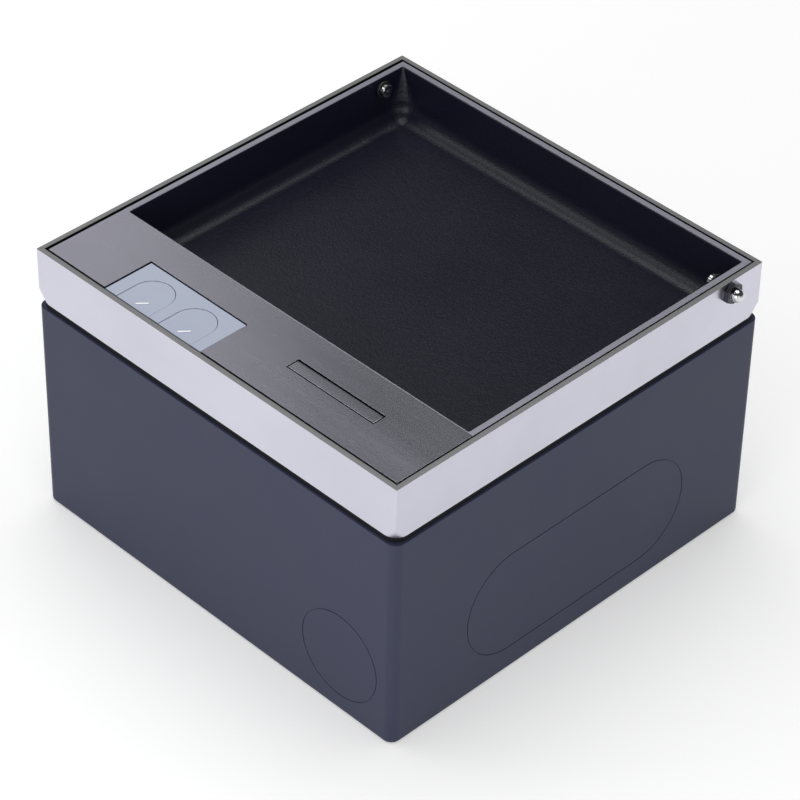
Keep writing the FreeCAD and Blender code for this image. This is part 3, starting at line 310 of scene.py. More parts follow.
@dataclass(frozen=True)
class GroundSteel(Finish):
    """Stainless sheet with a satin ground surface, its marks along one direction."""

    roughness: float = 0.3
    marks: Triple = (0.04, 1.0, 1.0)
    mark_size: float = 0.35 * MM
    mark_depth: float = 0.004 * MM
    mark_strength: float = 0.08
    smear_size: float = 7.7 * MM
    drift: float = 0.07
    cloud_size: float = 45 * MM
    sawn: float = 0.32

    def make(self) -> bpy.types.Material:
        """Build the material.

        Returns:
            The material.
        """
        bench = Bench(self.name)
        clouds = bench.noise(self.cloud_size, 1.5, (0.6, 1.0, 1.0))
        marks = bench.noise(self.mark_size, 3.0, self.marks)
        smears = bench.noise(self.smear_size, 2.0, self.marks)
        tone = 0.65 * clouds + 0.15 * marks + 0.2 * smears
        color = self.toned(bench, tone, 1 - self.drift * 2, 1 + self.drift * 2)
        rough = self.roughness - 0.03 + 0.05 * smears + 0.04 * marks
        return bench.dress(Base_Color=self.shade(bench, color), Metallic=1.0,
                           Roughness=rough + self.sawn * self.edges(bench),
                           Normal=bench.bump(marks, self.mark_depth, self.mark_strength))

    def edges(self, bench: Bench) -> Wire:
        """Tell where the sawn edges are, which are duller than the rest."""
        raise NotImplementedError


@dataclass(frozen=True)
class HollowSteel(GroundSteel):
    """Ground steel with a sawn grey top, and painted shade, standing for the dark gaps, on the faces inside a
    square.
    """

    inner_half: float = 117.4 * MM
    # Painted shade colour for the faces inside the square, which lie in the gaps.
    gap_shade_color: Color = (0.035, 0.035, 0.04)
    top: float = 152.3 * MM
    top_color: Color = (0.4, 0.4, 0.41)

    def edges(self, bench: Bench) -> Wire:
        """Tell where the sawn top edge is."""
        return bench.over(bench.along("Z"), self.top)

    def shade(self, bench: Bench, color: Wire) -> Wire:
        """Grey the top edge, and paint shade on what lies inside the square, where the gaps are.

        Args:
            bench: The material's nodes.
            color: The metal's colour.

        Returns:
            The colour with both changes.
        """
        across, along = (bench.add("ShaderNodeMath", {"operation": "ABSOLUTE"},
                                   {0: bench.along(axis)}) for axis in ("X", "Y"))
        reach = bench.add("ShaderNodeMath", {"operation": "MAXIMUM"}, {0: across, 1: along})
        edged = bench.blend(self.edges(bench), color, self.top_color)
        # Painted shade: what lies inside the square gets a dark colour for the shadowed gaps.
        return bench.blend(bench.over(reach, self.inner_half), self.gap_shade_color, edged)


@dataclass(frozen=True)
class BandShadedSteel(GroundSteel):
    """Ground steel with dull lips behind its strip, and painted shade between two heights, on the side faces seen
    in the gaps.
    """

    low: float = 149.6 * MM
    high: float = 152.1 * MM
    # Painted shade colour for the side faces that lie in the gaps.
    band_shade_color: Color = (0.02, 0.02, 0.022)
    lips_from: float = -69.9 * MM

    def edges(self, bench: Bench) -> Wire:
        """Tell where the sawn lips are."""
        return bench.over(bench.along("Y"), self.lips_from)

    def shade(self, bench: Bench, color: Wire) -> Wire:
        """Paint shade on what lies between the two heights.

        Args:
            bench: The material's nodes.
            color: The metal's colour.

        Returns:
            The colour with the painted shade band.
        """
        height = bench.along("Z")
        # Painted shade: the band between the two heights is darkened to stand for the shadowed gaps.
        band = bench.over(height, self.low) * bench.over(self.high, height)
        return bench.blend(band, color, self.band_shade_color)


@dataclass(frozen=True)
class PlatedSteel(Finish):
    """Zinc-plated sheet or screws, with faint pale and dark flakes."""

    roughness: float = 0.34
    flake: float = 6 * MM
    grain: float = 0.5 * MM
    relief: float = 0.003 * MM

    def make(self) -> bpy.types.Material:
        """Build the material.

        Returns:
            The material.
        """
        bench = Bench(self.name)
        flakes = bench.pebbles(self.flake)
        haze = bench.noise(self.flake * 4, 3.0)
        color = self.toned(bench, 0.5 * flakes + 0.5 * haze, 0.8, 1.2)
        rough = self.roughness + 0.14 * (haze - 0.5) + 0.08 * flakes
        return bench.dress(Base_Color=color, Metallic=1.0, Roughness=rough,
                           Normal=bench.bump(bench.noise(self.grain), self.relief, 0.5))


@dataclass(frozen=True)
class BrightMetal(Finish):
    """Turned or polished metal with a faint haze from handling."""

    roughness: float = 0.12
    haze_size: float = 3 * MM
    grain: float = 0.4 * MM
    relief: float = 0.002 * MM

    def make(self) -> bpy.types.Material:
        """Build the material.

        Returns:
            The material.
        """
        bench = Bench(self.name)
        haze = bench.noise(self.haze_size, 3.0)
        color = self.shade(bench, self.toned(bench, haze, 0.92, 1.06))
        return bench.dress(Base_Color=color, Metallic=1.0,
                           Roughness=self.roughness + 0.1 * (haze - 0.4),
                           Normal=bench.bump(bench.noise(self.grain), self.relief, 0.4))


@dataclass(frozen=True)
class HingeSteel(BrightMetal):
    """Bright metal whose domed nut gets a painted dark reflection and shade outside its dome."""

    axis: Tuple[float, float] = (97.5 * MM, 146.9 * MM)
    dome: float = 3.35 * MM
    start: float = 120.05 * MM
    # Painted dark reflection and shade colour for the nut's hexagon.
    dark: Color = (0.06, 0.06, 0.07)

    def shade(self, bench: Bench, color: Wire) -> Wire:
        """Paint a dark reflection and shade on what lies beyond the dome's radius on the right outside of the
        frame.

        Args:
            bench: The material's nodes.
            color: The metal's colour.

        Returns:
            The colour with the painted dark reflection and shade on the hexagon.
        """
        along = bench.along("Y") - self.axis[0]
        above = bench.along("Z") - self.axis[1]
        wide = bench.over(along * along + above * above, self.dome ** 2)
        outside = bench.over(bench.along("X"), self.start)
        # Painted dark reflection and shade: the hexagon of the right nut is darkened, though it is the same bright
        # steel.
        return bench.blend(wide * outside, color, self.dark)


@dataclass(frozen=True)
class MouldedPlastic(Finish):
    """Moulded plastic with a spark-eroded texture, and a painted pale highlight on what stands above a height."""

    texture: float = 0.3 * MM
    relief: float = 0.012 * MM
    drift: float = 0.06
    mottle: float = 28 * MM
    gloss: float = 0.5
    # Height above which a pale highlight is painted.
    highlight_above: Optional[float] = None
    pale: Color = (0.9, 0.92, 0.97)

    def make(self) -> bpy.types.Material:
        """Build the material.

        Returns:
            The material.
        """
        bench = Bench(self.name)
        mottle = bench.noise(self.mottle, 2.0)
        speckle = bench.noise(self.texture * 3, 2.0)
        texture = bench.noise(self.texture, 3.0)
        share = 0.7 * mottle + 0.3 * speckle
        color = self.toned(bench, share, 1 - self.drift * 2, 1 + self.drift * 2)
        # Painted highlight: what stands above the height, the flaps' finger ridges, is made pale.
        if self.highlight_above is not None:
            proud = bench.over(bench.along("Z"), self.highlight_above)
            color = bench.blend(proud, color, self.pale)
        rough = self.roughness + 0.12 * (mottle - 0.5) + 0.08 * (texture - 0.5)
        return bench.dress(Base_Color=color, Roughness=rough, Specular_IOR_Level=self.gloss,
                           Normal=bench.bump(texture, self.relief))


@dataclass(frozen=True)
class GrainedPaint(Finish):
    """Black paint with a fine leather grain that sparkles where the light grazes it."""

    roughness: float = 0.3
    grain: float = 1.2 * MM
    relief: float = 0.12 * MM
    dust_size: float = 60 * MM

    def make(self) -> bpy.types.Material:
        """Build the material.

        Returns:
            The material.
        """
        bench = Bench(self.name)
        cells = bench.pebbles(self.grain)
        creases = bench.noise(self.grain * 2.4, 3.0)
        dust = bench.noise(self.dust_size, 3.0)
        height = 0.65 * cells + 0.35 * creases
        color = self.toned(bench, dust, 0.8, 1.25)
        rough = self.roughness + 0.1 * (dust - 0.5) + 0.12 * cells
        return bench.dress(Base_Color=color, Roughness=rough,
                           Normal=bench.bump(height, self.relief))


@dataclass(frozen=True)
class SoftRubber(Finish):
    """Matt extruded rubber with a bloom of paler dust."""

    roughness: float = 0.7
    gloss: float = 0.5
    bloom_size: float = 9 * MM
    grain: float = 0.5 * MM
    relief: float = 0.01 * MM

    def make(self) -> bpy.types.Material:
        """Build the material.

        Returns:
            The material.
        """
        bench = Bench(self.name)
        bloom = bench.noise(self.bloom_size, 4.0)
        color = self.toned(bench, bloom, 0.75, 1.4)
        return bench.dress(Base_Color=color, Roughness=self.roughness + 0.15 * (bloom - 0.5),
                           Specular_IOR_Level=self.gloss,
                           Normal=bench.bump(bench.noise(self.grain), self.relief))


FINISHES: Dict[str, Finish] = {finish.name: finish for finish in (
    MouldedPlastic("box_plastic", (0.035, 0.040, 0.08), gloss=0.3),
    SoftRubber("gasket_rubber", (0.004, 0.004, 0.006), gloss=0.2),
    HollowSteel("frame_steel", (0.62, 0.615, 0.7), roughness=0.32),
    PlatedSteel("plate_steel", (0.5, 0.5, 0.51)),
    BrightMetal("screw_steel", (0.55, 0.55, 0.54), roughness=0.22),
    SoftRubber("pad_rubber", (0.015, 0.015, 0.015)),
    BandShadedSteel("lid_steel", (0.5, 0.495, 0.575), roughness=0.25),
    GrainedPaint("tray_paint", (0.006, 0.007, 0.018)),
    MouldedPlastic("bush_nylon", (0.02, 0.02, 0.022), roughness=0.4),
    HingeSteel("hinge_steel", (0.7, 0.7, 0.72)),
    # The flaps' finger ridges above 152.56 mm get a painted highlight.
    MouldedPlastic("outlet_plastic", (0.42, 0.46, 0.57), roughness=0.38,
                   texture=0.2 * MM, relief=0.004 * MM, drift=0.025,
                   highlight_above=152.56 * MM),
    MouldedPlastic("housing_plastic", (0.02, 0.02, 0.02)),
    MouldedPlastic("module_plastic", (0.78, 0.78, 0.76), roughness=0.25,
                   relief=0.002 * MM, drift=0.015),
    MouldedPlastic("data_plastic", (0.72, 0.73, 0.75), roughness=0.28,
                   relief=0.002 * MM, drift=0.015),
    BrightMetal("earth_brass", (0.72, 0.54, 0.26), roughness=0.25),
)}


class Paints:
    """The finishes, each made once, the first time that a piece asks for it."""

    def __init__(self) -> None:
        """Start with none made."""
        self.made: Dict[str, bpy.types.Material] = {}

    def of(self, slot: str) -> bpy.types.Material:
        """Give the material of one of the record's slots.

        Args:
            slot: The slot's name.

        Returns:
            The material.
        """
        if slot not in self.made:
            self.made[slot] = FINISHES[slot].make()
        return self.made[slot]


PAINTS = Paints()
SLOTS: Dict[str, str] = {
    part["node"]: part["material_slot"] for part in frame["record"]["subparts"]}
BODY_OF: Dict[str, str] = {
    node: body for body, nodes in frame["record"]["behaviour"]["bodies"].items()
    for node in nodes}


# Solids


@dataclass(frozen=True)
class Plan:
    """A rectangle seen from above, with one radius at its corners."""

    left: float
    right: float
    front: float
    rear: float
    radius: float = SHARP

    def grown(self, by: float, radius: Optional[float] = None) -> "Plan":
        """Give the plan with every side moved out.

        Args:
            by: How far, and negative for inwards.
            radius: The new corner radius, or None to keep it concentric.

        Returns:
            The new plan.
        """
        bend = max(SHARP, self.radius + by) if radius is None else radius
        return Plan(self.left - by, self.right + by, self.front - by, self.rear + by, bend)


def plan_of(node: str, radius: float = SHARP) -> Plan:
    """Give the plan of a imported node's box."""
    low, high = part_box(node)
    return Plan(low.x, high.x, low.y, high.y, radius)


class Solid:
    """A bmesh in hand, with the operators that the pieces share."""

    def __init__(self) -> None:
        """Start empty."""
        self.mesh = bmesh.new()

    def outline(self, plan: Plan, level: float, steps: int = CORNER_STEPS) -> bmesh.types.BMFace:
        """Lay a flat rectangle with rounded corners.

        Args:
            plan: Its sides and corner radius.
            level: Its height.
            steps: Edges in each corner.

        Returns:
            The face.
        """
        middle = Vector(((plan.left + plan.right) / 2, (plan.front + plan.rear) / 2, level))
        spread = Matrix.Diagonal((plan.right - plan.left, plan.rear - plan.front, 1, 1))
        made = bmesh.ops.create_grid(self.mesh, x_segments=1, y_segments=1, size=0.5,
                                     matrix=Matrix.Translation(middle) @ spread)
        rounded = bmesh.ops.bevel(self.mesh, geom=made["verts"], offset=plan.radius,
                                  offset_type="OFFSET", segments=steps, profile=0.5,
                                  affect="VERTICES", material=-1)
        return rounded["verts"][0].link_faces[0]

    def loft(self, levels: Sequence[Tuple[Plan, float]], ends: Ends = Ends.CAPPED,
             steps: int = CORNER_STEPS) -> "Solid":
        """Join outlines one after another.

        They are bridged far apart and then moved to their levels, because the bridge can't
        tell which way round two outlines in one plane run.

        Args:
            levels: Each outline's plan and height.
            ends: Whether the first and last are capped, or joined into a ring.
            steps: Edges in each corner.

        Returns:
            This solid.
        """
        faces = [self.outline(plan, index * APART, steps)
                 for index, (plan, _) in enumerate(levels)]
        points = [list(face.verts) for face in faces]
        loops = [list(face.edges) for face in faces]
        spare = faces[1:-1] if ends is Ends.CAPPED else faces
        bmesh.ops.delete(self.mesh, geom=spare, context="FACES_ONLY")
        pairs = list(zip(loops, loops[1:]))
        if ends is Ends.RING:
            pairs.append((loops[-1], loops[0]))
        for first, second in pairs:
            bmesh.ops.bridge_loops(self.mesh, edges=first + second)
        for index, (_, level) in enumerate(levels):
            bmesh.ops.translate(self.mesh, verts=points[index],
                                vec=(0, 0, level - index * APART))
        return self.face_out()

    def brick(self, low: Triple, high: Triple) -> "Solid":
        """Add a plain block between its lowest and highest corners.

        Args:
            low: Its lowest corner.
            high: Its highest corner.

        Returns:
            This solid.
        """
        first, second = Vector(low), Vector(high)
        size = second - first
        place = Matrix.Translation((first + second) / 2) @ Matrix.Diagonal((*size, 1))
        bmesh.ops.create_cube(self.mesh, size=1.0, matrix=place)
        return self

    def bar(self, axis: Axis, middle: Triple, radius: float, length: float,
            steps: int = ROUND_STEPS) -> "Solid":
        """Add a round bar, or one of a few flat sides.

        Args:
            axis: The direction that it follows.
            middle: Its centre.
            radius: Its radius.
            length: Its length.
            steps: Its sides.

        Returns:
            This solid.
        """
        place = Matrix.Translation(Vector(middle)) @ axis.turn()
        bmesh.ops.create_cone(self.mesh, cap_ends=True, segments=steps, radius1=radius,
                              radius2=radius, depth=length, matrix=place)
        return self

    def turned(self, place: Matrix, profile: Sequence[Tuple[float, float]],
               steps: int = ROUND_STEPS) -> "Solid":
        """Turn a profile about an axis into the whole of this solid.

        Args:
            place: Lays the Z axis and the origin of the profile where they belong.
            profile: The distance along the axis and the radius of each point.
            steps: Its sides.

        Returns:
            This solid.
        """
        points = [self.mesh.verts.new((radius, 0, along)) for along, radius in profile]
        lines = [self.mesh.edges.new(pair) for pair in zip(points, points[1:])]
        bmesh.ops.spin(self.mesh, geom=points + lines, axis=(0, 0, 1), cent=(0, 0, 0),
                       angle=math.tau, steps=steps, use_merge=True)
        bmesh.ops.remove_doubles(self.mesh, verts=self.mesh.verts, dist=WELD)
        bmesh.ops.transform(self.mesh, matrix=place, verts=self.mesh.verts)
        return self.face_out()

    def arch(self, middle: float, front: float, tip: float, width: float,
             low: float, high: float) -> "Solid":
        """Add a prism with a U plan, straight at the front and round at the rear.

        Args:
            middle: Its middle in X.
            front: Where the straight side lies.
            tip: How far back the round end reaches.
            width: Its width.
            low: Its underside.
            high: Its top.

        Returns:
            This solid.
        """
        place = Matrix.Translation(Vector((middle, (front + tip) / 2, low)))
        spread = Matrix.Diagonal((width, tip - front, 1, 1))
        made = bmesh.ops.create_grid(self.mesh, x_segments=1, y_segments=1, size=0.5,
                                     matrix=place @ spread)
        rear = [vertex for vertex in made["verts"] if vertex.co.y > front + MM]
        rounded = bmesh.ops.bevel(self.mesh, geom=rear, offset=width * NEARLY_HALF,
                                  offset_type="OFFSET", segments=ARCH_STEPS, profile=0.5,
                                  affect="VERTICES", material=-1)
        base = rounded["verts"][0].link_faces[0]
        raised = bmesh.ops.extrude_face_region(self.mesh, geom=[base])["geom"]
        top = [item for item in raised if isinstance(item, bmesh.types.BMVert)]
        bmesh.ops.translate(self.mesh, verts=top, vec=(0, 0, high - low))
        return self.face_out()

    def ring(self, axis: Axis, middle: Triple, length: float, width: float,
             line: float, depth: float) -> "Solid":
        """Add a thin flat ring, oblong or round.

        Args:
            axis: The direction that it faces.
            middle: Its centre.
            length: Its level length, at the middle of the line.
            width: Its height.
            line: How wide the line is.
            depth: How far the ring reaches to either side of its centre.

        Returns:
            This solid.
        """
        bend = width * NEARLY_HALF
        plan = Plan(-length / 2, length / 2, -width / 2, width / 2, bend)
        outer = plan.grown(line / 2)
        inner = plan.grown(-line / 2)
        made = Solid().loft([(outer, -depth), (outer, depth), (inner, depth), (inner, -depth)],
                            Ends.RING, ARCH_STEPS)
        place = Matrix.Translation(Vector(middle)) @ axis.turn()
        bmesh.ops.transform(made.mesh, matrix=place, verts=made.mesh.verts)
        return self.take(made)

    def take(self, other: "Solid") -> "Solid":
        """Add another solid's faces to this one, apart from its own.

        Args:
            other: The other solid, which is used up.

        Returns:
            This solid.
        """
        data = bpy.data.meshes.new("part")
        other.mesh.to_mesh(data)
        self.mesh.from_mesh(data)
        bpy.data.meshes.remove(data)
        other.mesh.free()
        return self

    def face_out(self) -> "Solid":
        """Turn every face outwards."""
        bmesh.ops.recalc_face_normals(self.mesh, faces=self.mesh.faces)
        return self

    def work(self, tool: "Solid", joining: Joining) -> "Solid":
        """Work another solid into this one.

        Args:
            tool: The other solid, which is used up.
            joining: How it is worked in.

        Returns:
            This solid.
        """
        parts = []
        for shape in (self, tool):
            data = bpy.data.meshes.new("part")
            shape.mesh.to_mesh(data)
            parts.append(bpy.data.objects.new("part", data))
            bpy.context.scene.collection.objects.link(parts[-1])
        step = parts[0].modifiers.new("step", "BOOLEAN")
        step.operation = joining.value
        step.solver = "EXACT"
        step.use_self = True
        step.object = parts[1]
        bpy.context.view_layer.update()
        result = parts[0].evaluated_get(bpy.context.evaluated_depsgraph_get())
        worked = bmesh.new()
        worked.from_mesh(result.to_mesh())
        bmesh.ops.remove_doubles(worked, verts=worked.verts, dist=WELD)
        for part in parts:
            bpy.data.meshes.remove(part.data)
        self.mesh.free()
        tool.mesh.free()
        self.mesh = worked
        return self

    def cut(self, tool: "Solid") -> "Solid":
        """Cut another solid out of this one."""
        return self.work(tool, Joining.CUT)

    def unite(self, tool: "Solid") -> "Solid":
        """Unite another solid with this one."""
        return self.work(tool, Joining.UNITE)

    def corners(self) -> List[bmesh.types.BMEdge]:
        """Give the edges where two faces meet at an angle."""
        return [edge for edge in self.mesh.edges if edge.calc_face_angle(0.0) > SMOOTH_BELOW]

    def rim(self, level: float) -> List[bmesh.types.BMEdge]:
        """Give the corners that lie at one height."""
        return [edge for edge in self.corners()
                if all(abs(vertex.co.z - level) < SLACK for vertex in edge.verts)]

    def soften(self, edges: Iterable[bmesh.types.BMEdge], radius: float,
               steps: int = 2) -> "Solid":
        """Round some edges off.

        Args:
            edges: The edges.
            radius: How far they are rounded.
            steps: The faces in each rounding.

        Returns:
            This solid.
        """
        bmesh.ops.bevel(self.mesh, geom=list(edges), offset=radius, offset_type="OFFSET",
                        segments=steps, profile=0.5, affect="EDGES", material=-1,
                        clamp_overlap=True)
        return self

    def object(self, name: str) -> bpy.types.Object:
        """Make the finished object, smooth but for its corners.

        Args:
            name: Its name.

        Returns:
            The object.
        """
        for face in self.mesh.faces:
            face.smooth = True
        for edge in self.mesh.edges:
            edge.smooth = edge.calc_face_angle(math.pi) <= SMOOTH_BELOW
        data = bpy.data.meshes.new(name)
        self.mesh.to_mesh(data)
        self.mesh.free()
        made = bpy.data.objects.new(name, data)
        bpy.context.scene.collection.objects.link(made)
        return made


def fit(piece: bpy.types.Object, node: str) -> None:
    """Dress a piece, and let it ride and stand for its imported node.

    Args:
        piece: The finished object.
        node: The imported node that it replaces.
    """
    even = piece.modifiers.new("even_shading", "WEIGHTED_NORMAL")
    even.keep_sharp = True
    piece.data.materials.clear()
    piece.data.materials.append(PAINTS.of(SLOTS[node]))
    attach(piece, BODY_OF[node])
    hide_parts(node)
    log.info("%s: %d faces on %s", piece.name, len(piece.data.polygons), BODY_OF[node])


def soft_edges(node: str, name: str, width: float) -> bpy.types.Object:
    """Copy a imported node, merge its triangles into whole faces and soften its edges.

    Args:
        node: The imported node.
        name: The new piece's name.
        width: How far the edges are rounded.

    Returns:
        The new object.
    """
    solid = Solid()
    solid.mesh.from_mesh(frame["nodes"][node].data)
    bmesh.ops.remove_doubles(solid.mesh, verts=solid.mesh.verts, dist=4 * WELD)
    bmesh.ops.dissolve_limit(solid.mesh, angle_limit=FLAT_WITHIN,
                             verts=solid.mesh.verts, edges=solid.mesh.edges)
    piece = solid.object(name)
    bevel = piece.modifiers.new("soft_edges", "BEVEL")
    bevel.width = width
    bevel.segments = 2
    bevel.limit_method = "ANGLE"
    bevel.angle_limit = SMOOTH_BELOW
    bevel.use_clamp_overlap = True
    return piece


def screw_places(node: str) -> List[Tuple[float, float]]:
    """Give where the screws of a packed group stand, from the box of each loose solid.

    Args:
        node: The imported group.

    Returns:
        Each screw's place in X and Y.
    """
    source = bmesh.new()
    source.from_mesh(frame["nodes"][node].data)
    bmesh.ops.remove_doubles(source, verts=source.verts, dist=2 * WELD)
    places = []
    left = set(source.verts)
    while left:
        island = {left.pop()}
        reached = list(island)
        while reached:
            for link in reached.pop().link_edges:
                for vertex in link.verts:
                    if vertex in left:
                        left.discard(vertex)
                        island.add(vertex)
                        reached.append(vertex)
        across = [vertex.co.x for vertex in island]
        along = [vertex.co.y for vertex in island]
        places.append(((min(across) + max(across)) / 2, (min(along) + max(along)) / 2))
    source.free()
    return sorted(places)


def joint_place(name: str) -> Vector:
    """Give a point on a joint's axis."""
    joint = next(item for item in frame["joints"] if item["name"] == name)
    return Vector(joint["pos_m"])


# Sub-assemblies


@dataclass
class BackBox:
    """The moulded box with its posts, screw holes and knock-out outlines."""

    wall: float = 2.6 * MM
    floor: float = 3.0 * MM
    corner: float = 5.2 * MM
    foot: float = 1.5 * MM
    foot_steps: int = 4
    rim: float = 0.5 * MM
    line: float = 0.5 * MM
    line_depth: float = 0.3 * MM
    oblong: Triple = (146.5 * MM, 58.3 * MM, 42.6 * MM)
    round_hole: Triple = (48.5 * MM, 34.6 * MM, 33.6 * MM)
    post: float = 13.0 * MM
    boss: float = 9.0 * MM
    device_post: float = 12.0 * MM
    device_sheet: float = 2.0 * MM
    pilot: float = 1.7 * MM
    pilot_depth: float = 20 * MM
    foot_hole: float = 2.75 * MM
    foot_hole_steps: int = 32
    foot_place: float = 80 * MM

    def build(self) -> None:
        """Build the box."""
        fit(self.shell(), "back_box")

    def shell(self) -> bpy.types.Object:
        """Loft the walls, then add the posts and cut the holes and the thin lines.

        Returns:
            The new object.
        """
        low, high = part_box("back_box")
        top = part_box("box_gasket")[0].z
        outside = plan_of("back_box", self.corner)
        inside = outside.grown(-self.wall)
        solid = Solid().loft([(outside, low.z), (outside, top),
                              (inside, top), (inside, low.z + self.floor)],
                             steps=BEND_STEPS)
        solid.soften(solid.rim(low.z), self.foot, self.foot_steps)
        reach = inside.right + SLACK
        outer = [edge for edge in solid.rim(top)
                 if max(max(abs(vertex.co.x), abs(vertex.co.y)) for vertex in edge.verts) > reach]
        solid.soften(outer, self.rim)
        solid.unite(self.posts(low, high, top))
        solid.cut(self.holes(low, high))
        solid.cut(self.lines(low, high))
        return solid.object("moulded_box")

    def posts(self, low: Vector, high: Vector, top: float) -> Solid:
        """Make the square posts, rooted in the floor.

        Args:
            low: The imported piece's lowest corner.
            high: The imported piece's highest corner.
            top: The height of the walls' top.

        Returns:
            The posts.
        """
        root = low.z + self.floor / 2
        posts = Solid()
        for x, y in screw_places("base_screws"):
            self.upright(posts, x, y, self.post, root, top)
            self.upright(posts, x, y, self.boss, top - PAST, high.z)
        for x, y in screw_places("device_screws"):
            self.upright(posts, x, y, self.device_post, root, self.deck())
        return posts

    def deck(self) -> float:
        """Give the height where the device plate's sheet lies on its posts."""
        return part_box("device_plate")[1].z - self.device_sheet

    @staticmethod
    def upright(solid: Solid, x: float, y: float, side: float, low: float, high: float) -> None:
        """Add one square post."""
        half = side / 2
        solid.brick((x - half, y - half, low), (x + half, y + half, high))

    def holes(self, low: Vector, high: Vector) -> Solid:
        """Make the screw holes in the posts and in the floor.

        Args:
            low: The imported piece's lowest corner.
            high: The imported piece's highest corner.

        Returns:
            Bars to cut them with.
        """
        holes = Solid()
        for group, level in (("base_screws", high.z), ("device_screws", self.deck())):
            for x, y in screw_places(group):
                holes.bar(Axis.Z, (x, y, level), self.pilot, 2 * self.pilot_depth, HOLE_STEPS)
        for across in (-1, 1):
            for along in (-1, 1):
                place = (across * self.foot_place, along * self.foot_place, low.z)
                holes.bar(Axis.Z, place, self.foot_hole, 3 * self.floor, self.foot_hole_steps)
        return holes

    def lines(self, low: Vector, high: Vector) -> Solid:
        """Make the rings that cut the knock-out outlines into the four walls.

        Args:
            low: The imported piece's lowest corner.
            high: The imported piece's highest corner.

        Returns:
            The rings.
        """
        rings = Solid()
        length, width, level = self.oblong
        size, inset, height = self.round_hole
        for side in (-1, 1):
            rings.ring(Axis.X, (side * high.x, 0, low.z + level), length, width,
                       self.line, self.line_depth)
            rings.ring(Axis.Y, (-side * (high.x - inset), side * high.y, low.z + height),
                       size, size, self.line, self.line_depth)
        return rings


@dataclass
class FloorFrame:
    """The flat-bar skirt, and the gasket under its flange plate."""

    wall: float = 3.0 * MM
    edge: float = 0.4 * MM
    foot_bend: float = 7.0 * MM
    foot_height: float = 6.5 * MM
    arris: float = 0.25 * MM
    gasket_bend: float = 6.8 * MM
    gasket_reach: float = 4.8 * MM
    gasket_bead: float = 0.5 * MM
    gasket_notch: float = 9.4 * MM
    hinge_hole: float = 2.15 * MM

    def build(self) -> None:
        """Build the skirt and the gasket."""
        fit(self.skirt(), "frame_skirt")
        fit(self.gasket(), "box_gasket")

    def skirt(self) -> bpy.types.Object:
        """Loft the skirt: rounded foot corners, sharp upright corners, a softened top.

        Returns:
            The new object.
        """
        low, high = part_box("frame_skirt")
        outside = plan_of("frame_skirt", self.edge)
        inside = outside.grown(-self.wall, self.edge)
        solid = Solid().loft([
            (replace(outside, radius=self.foot_bend), low.z),
            (outside, low.z + self.foot_height),
            (outside, high.z),
            (inside, high.z),
            (inside, low.z)], Ends.RING)
        solid.soften(solid.rim(high.z), self.arris)
        hinge = joint_place("lid_hinge")
        holes = Solid().bar(Axis.X, (0, hinge.y, hinge.z), self.hinge_hole, 3 * high.x)
        return solid.cut(holes).object("skirt_bar")

    def gasket(self) -> bpy.types.Object:
        """Loft the gasket: a beaded outer band with an inner step that the flange fills.

        Returns:
            The new object.
        """
        low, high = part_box("box_gasket")
        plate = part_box("frame_base")[0]
        outside = plan_of("box_gasket", self.gasket_bend)
        seat = plan_of("frame_base", self.gasket_bend - 2 * self.gasket_bead)
        leg = outside.grown(-self.gasket_reach, self.edge)
        solid = Solid().loft([
            (outside.grown(-self.gasket_bead), low.z),
            (outside, low.z + self.gasket_bead),
            (outside, high.z - self.gasket_bead),
            (outside.grown(-self.gasket_bead), high.z),
            (seat, high.z),
            (seat, plate.z),
            (leg, plate.z),
            (leg, low.z)], Ends.RING)
        half = self.gasket_notch / 2
        notches = Solid()
        for x, y in screw_places("base_screws"):
            notches.brick((x - half, y - half, low.z - PAST), (x + half, y + half, plate.z))
        return solid.cut(notches).object("gasket_ring")


@dataclass
class LidPart:
    """What the lid's steel and its tray share: the opening behind the strip, and the holes."""

    lip: float = 3.0 * MM
    strip: float = 47.0 * MM
    wall: float = 2.0 * MM
    mouth_bend: float = 0.9 * MM
    hinge_hole: float = 3.56 * MM
    screw_hole: float = 1.5 * MM

    def mouth(self) -> Plan:
        """Give the outline of the lid's opening."""
        low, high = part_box("lid_frame")
        return Plan(low.x + self.lip, high.x - self.lip, low.y + self.strip, high.y - self.lip,
                    self.mouth_bend)


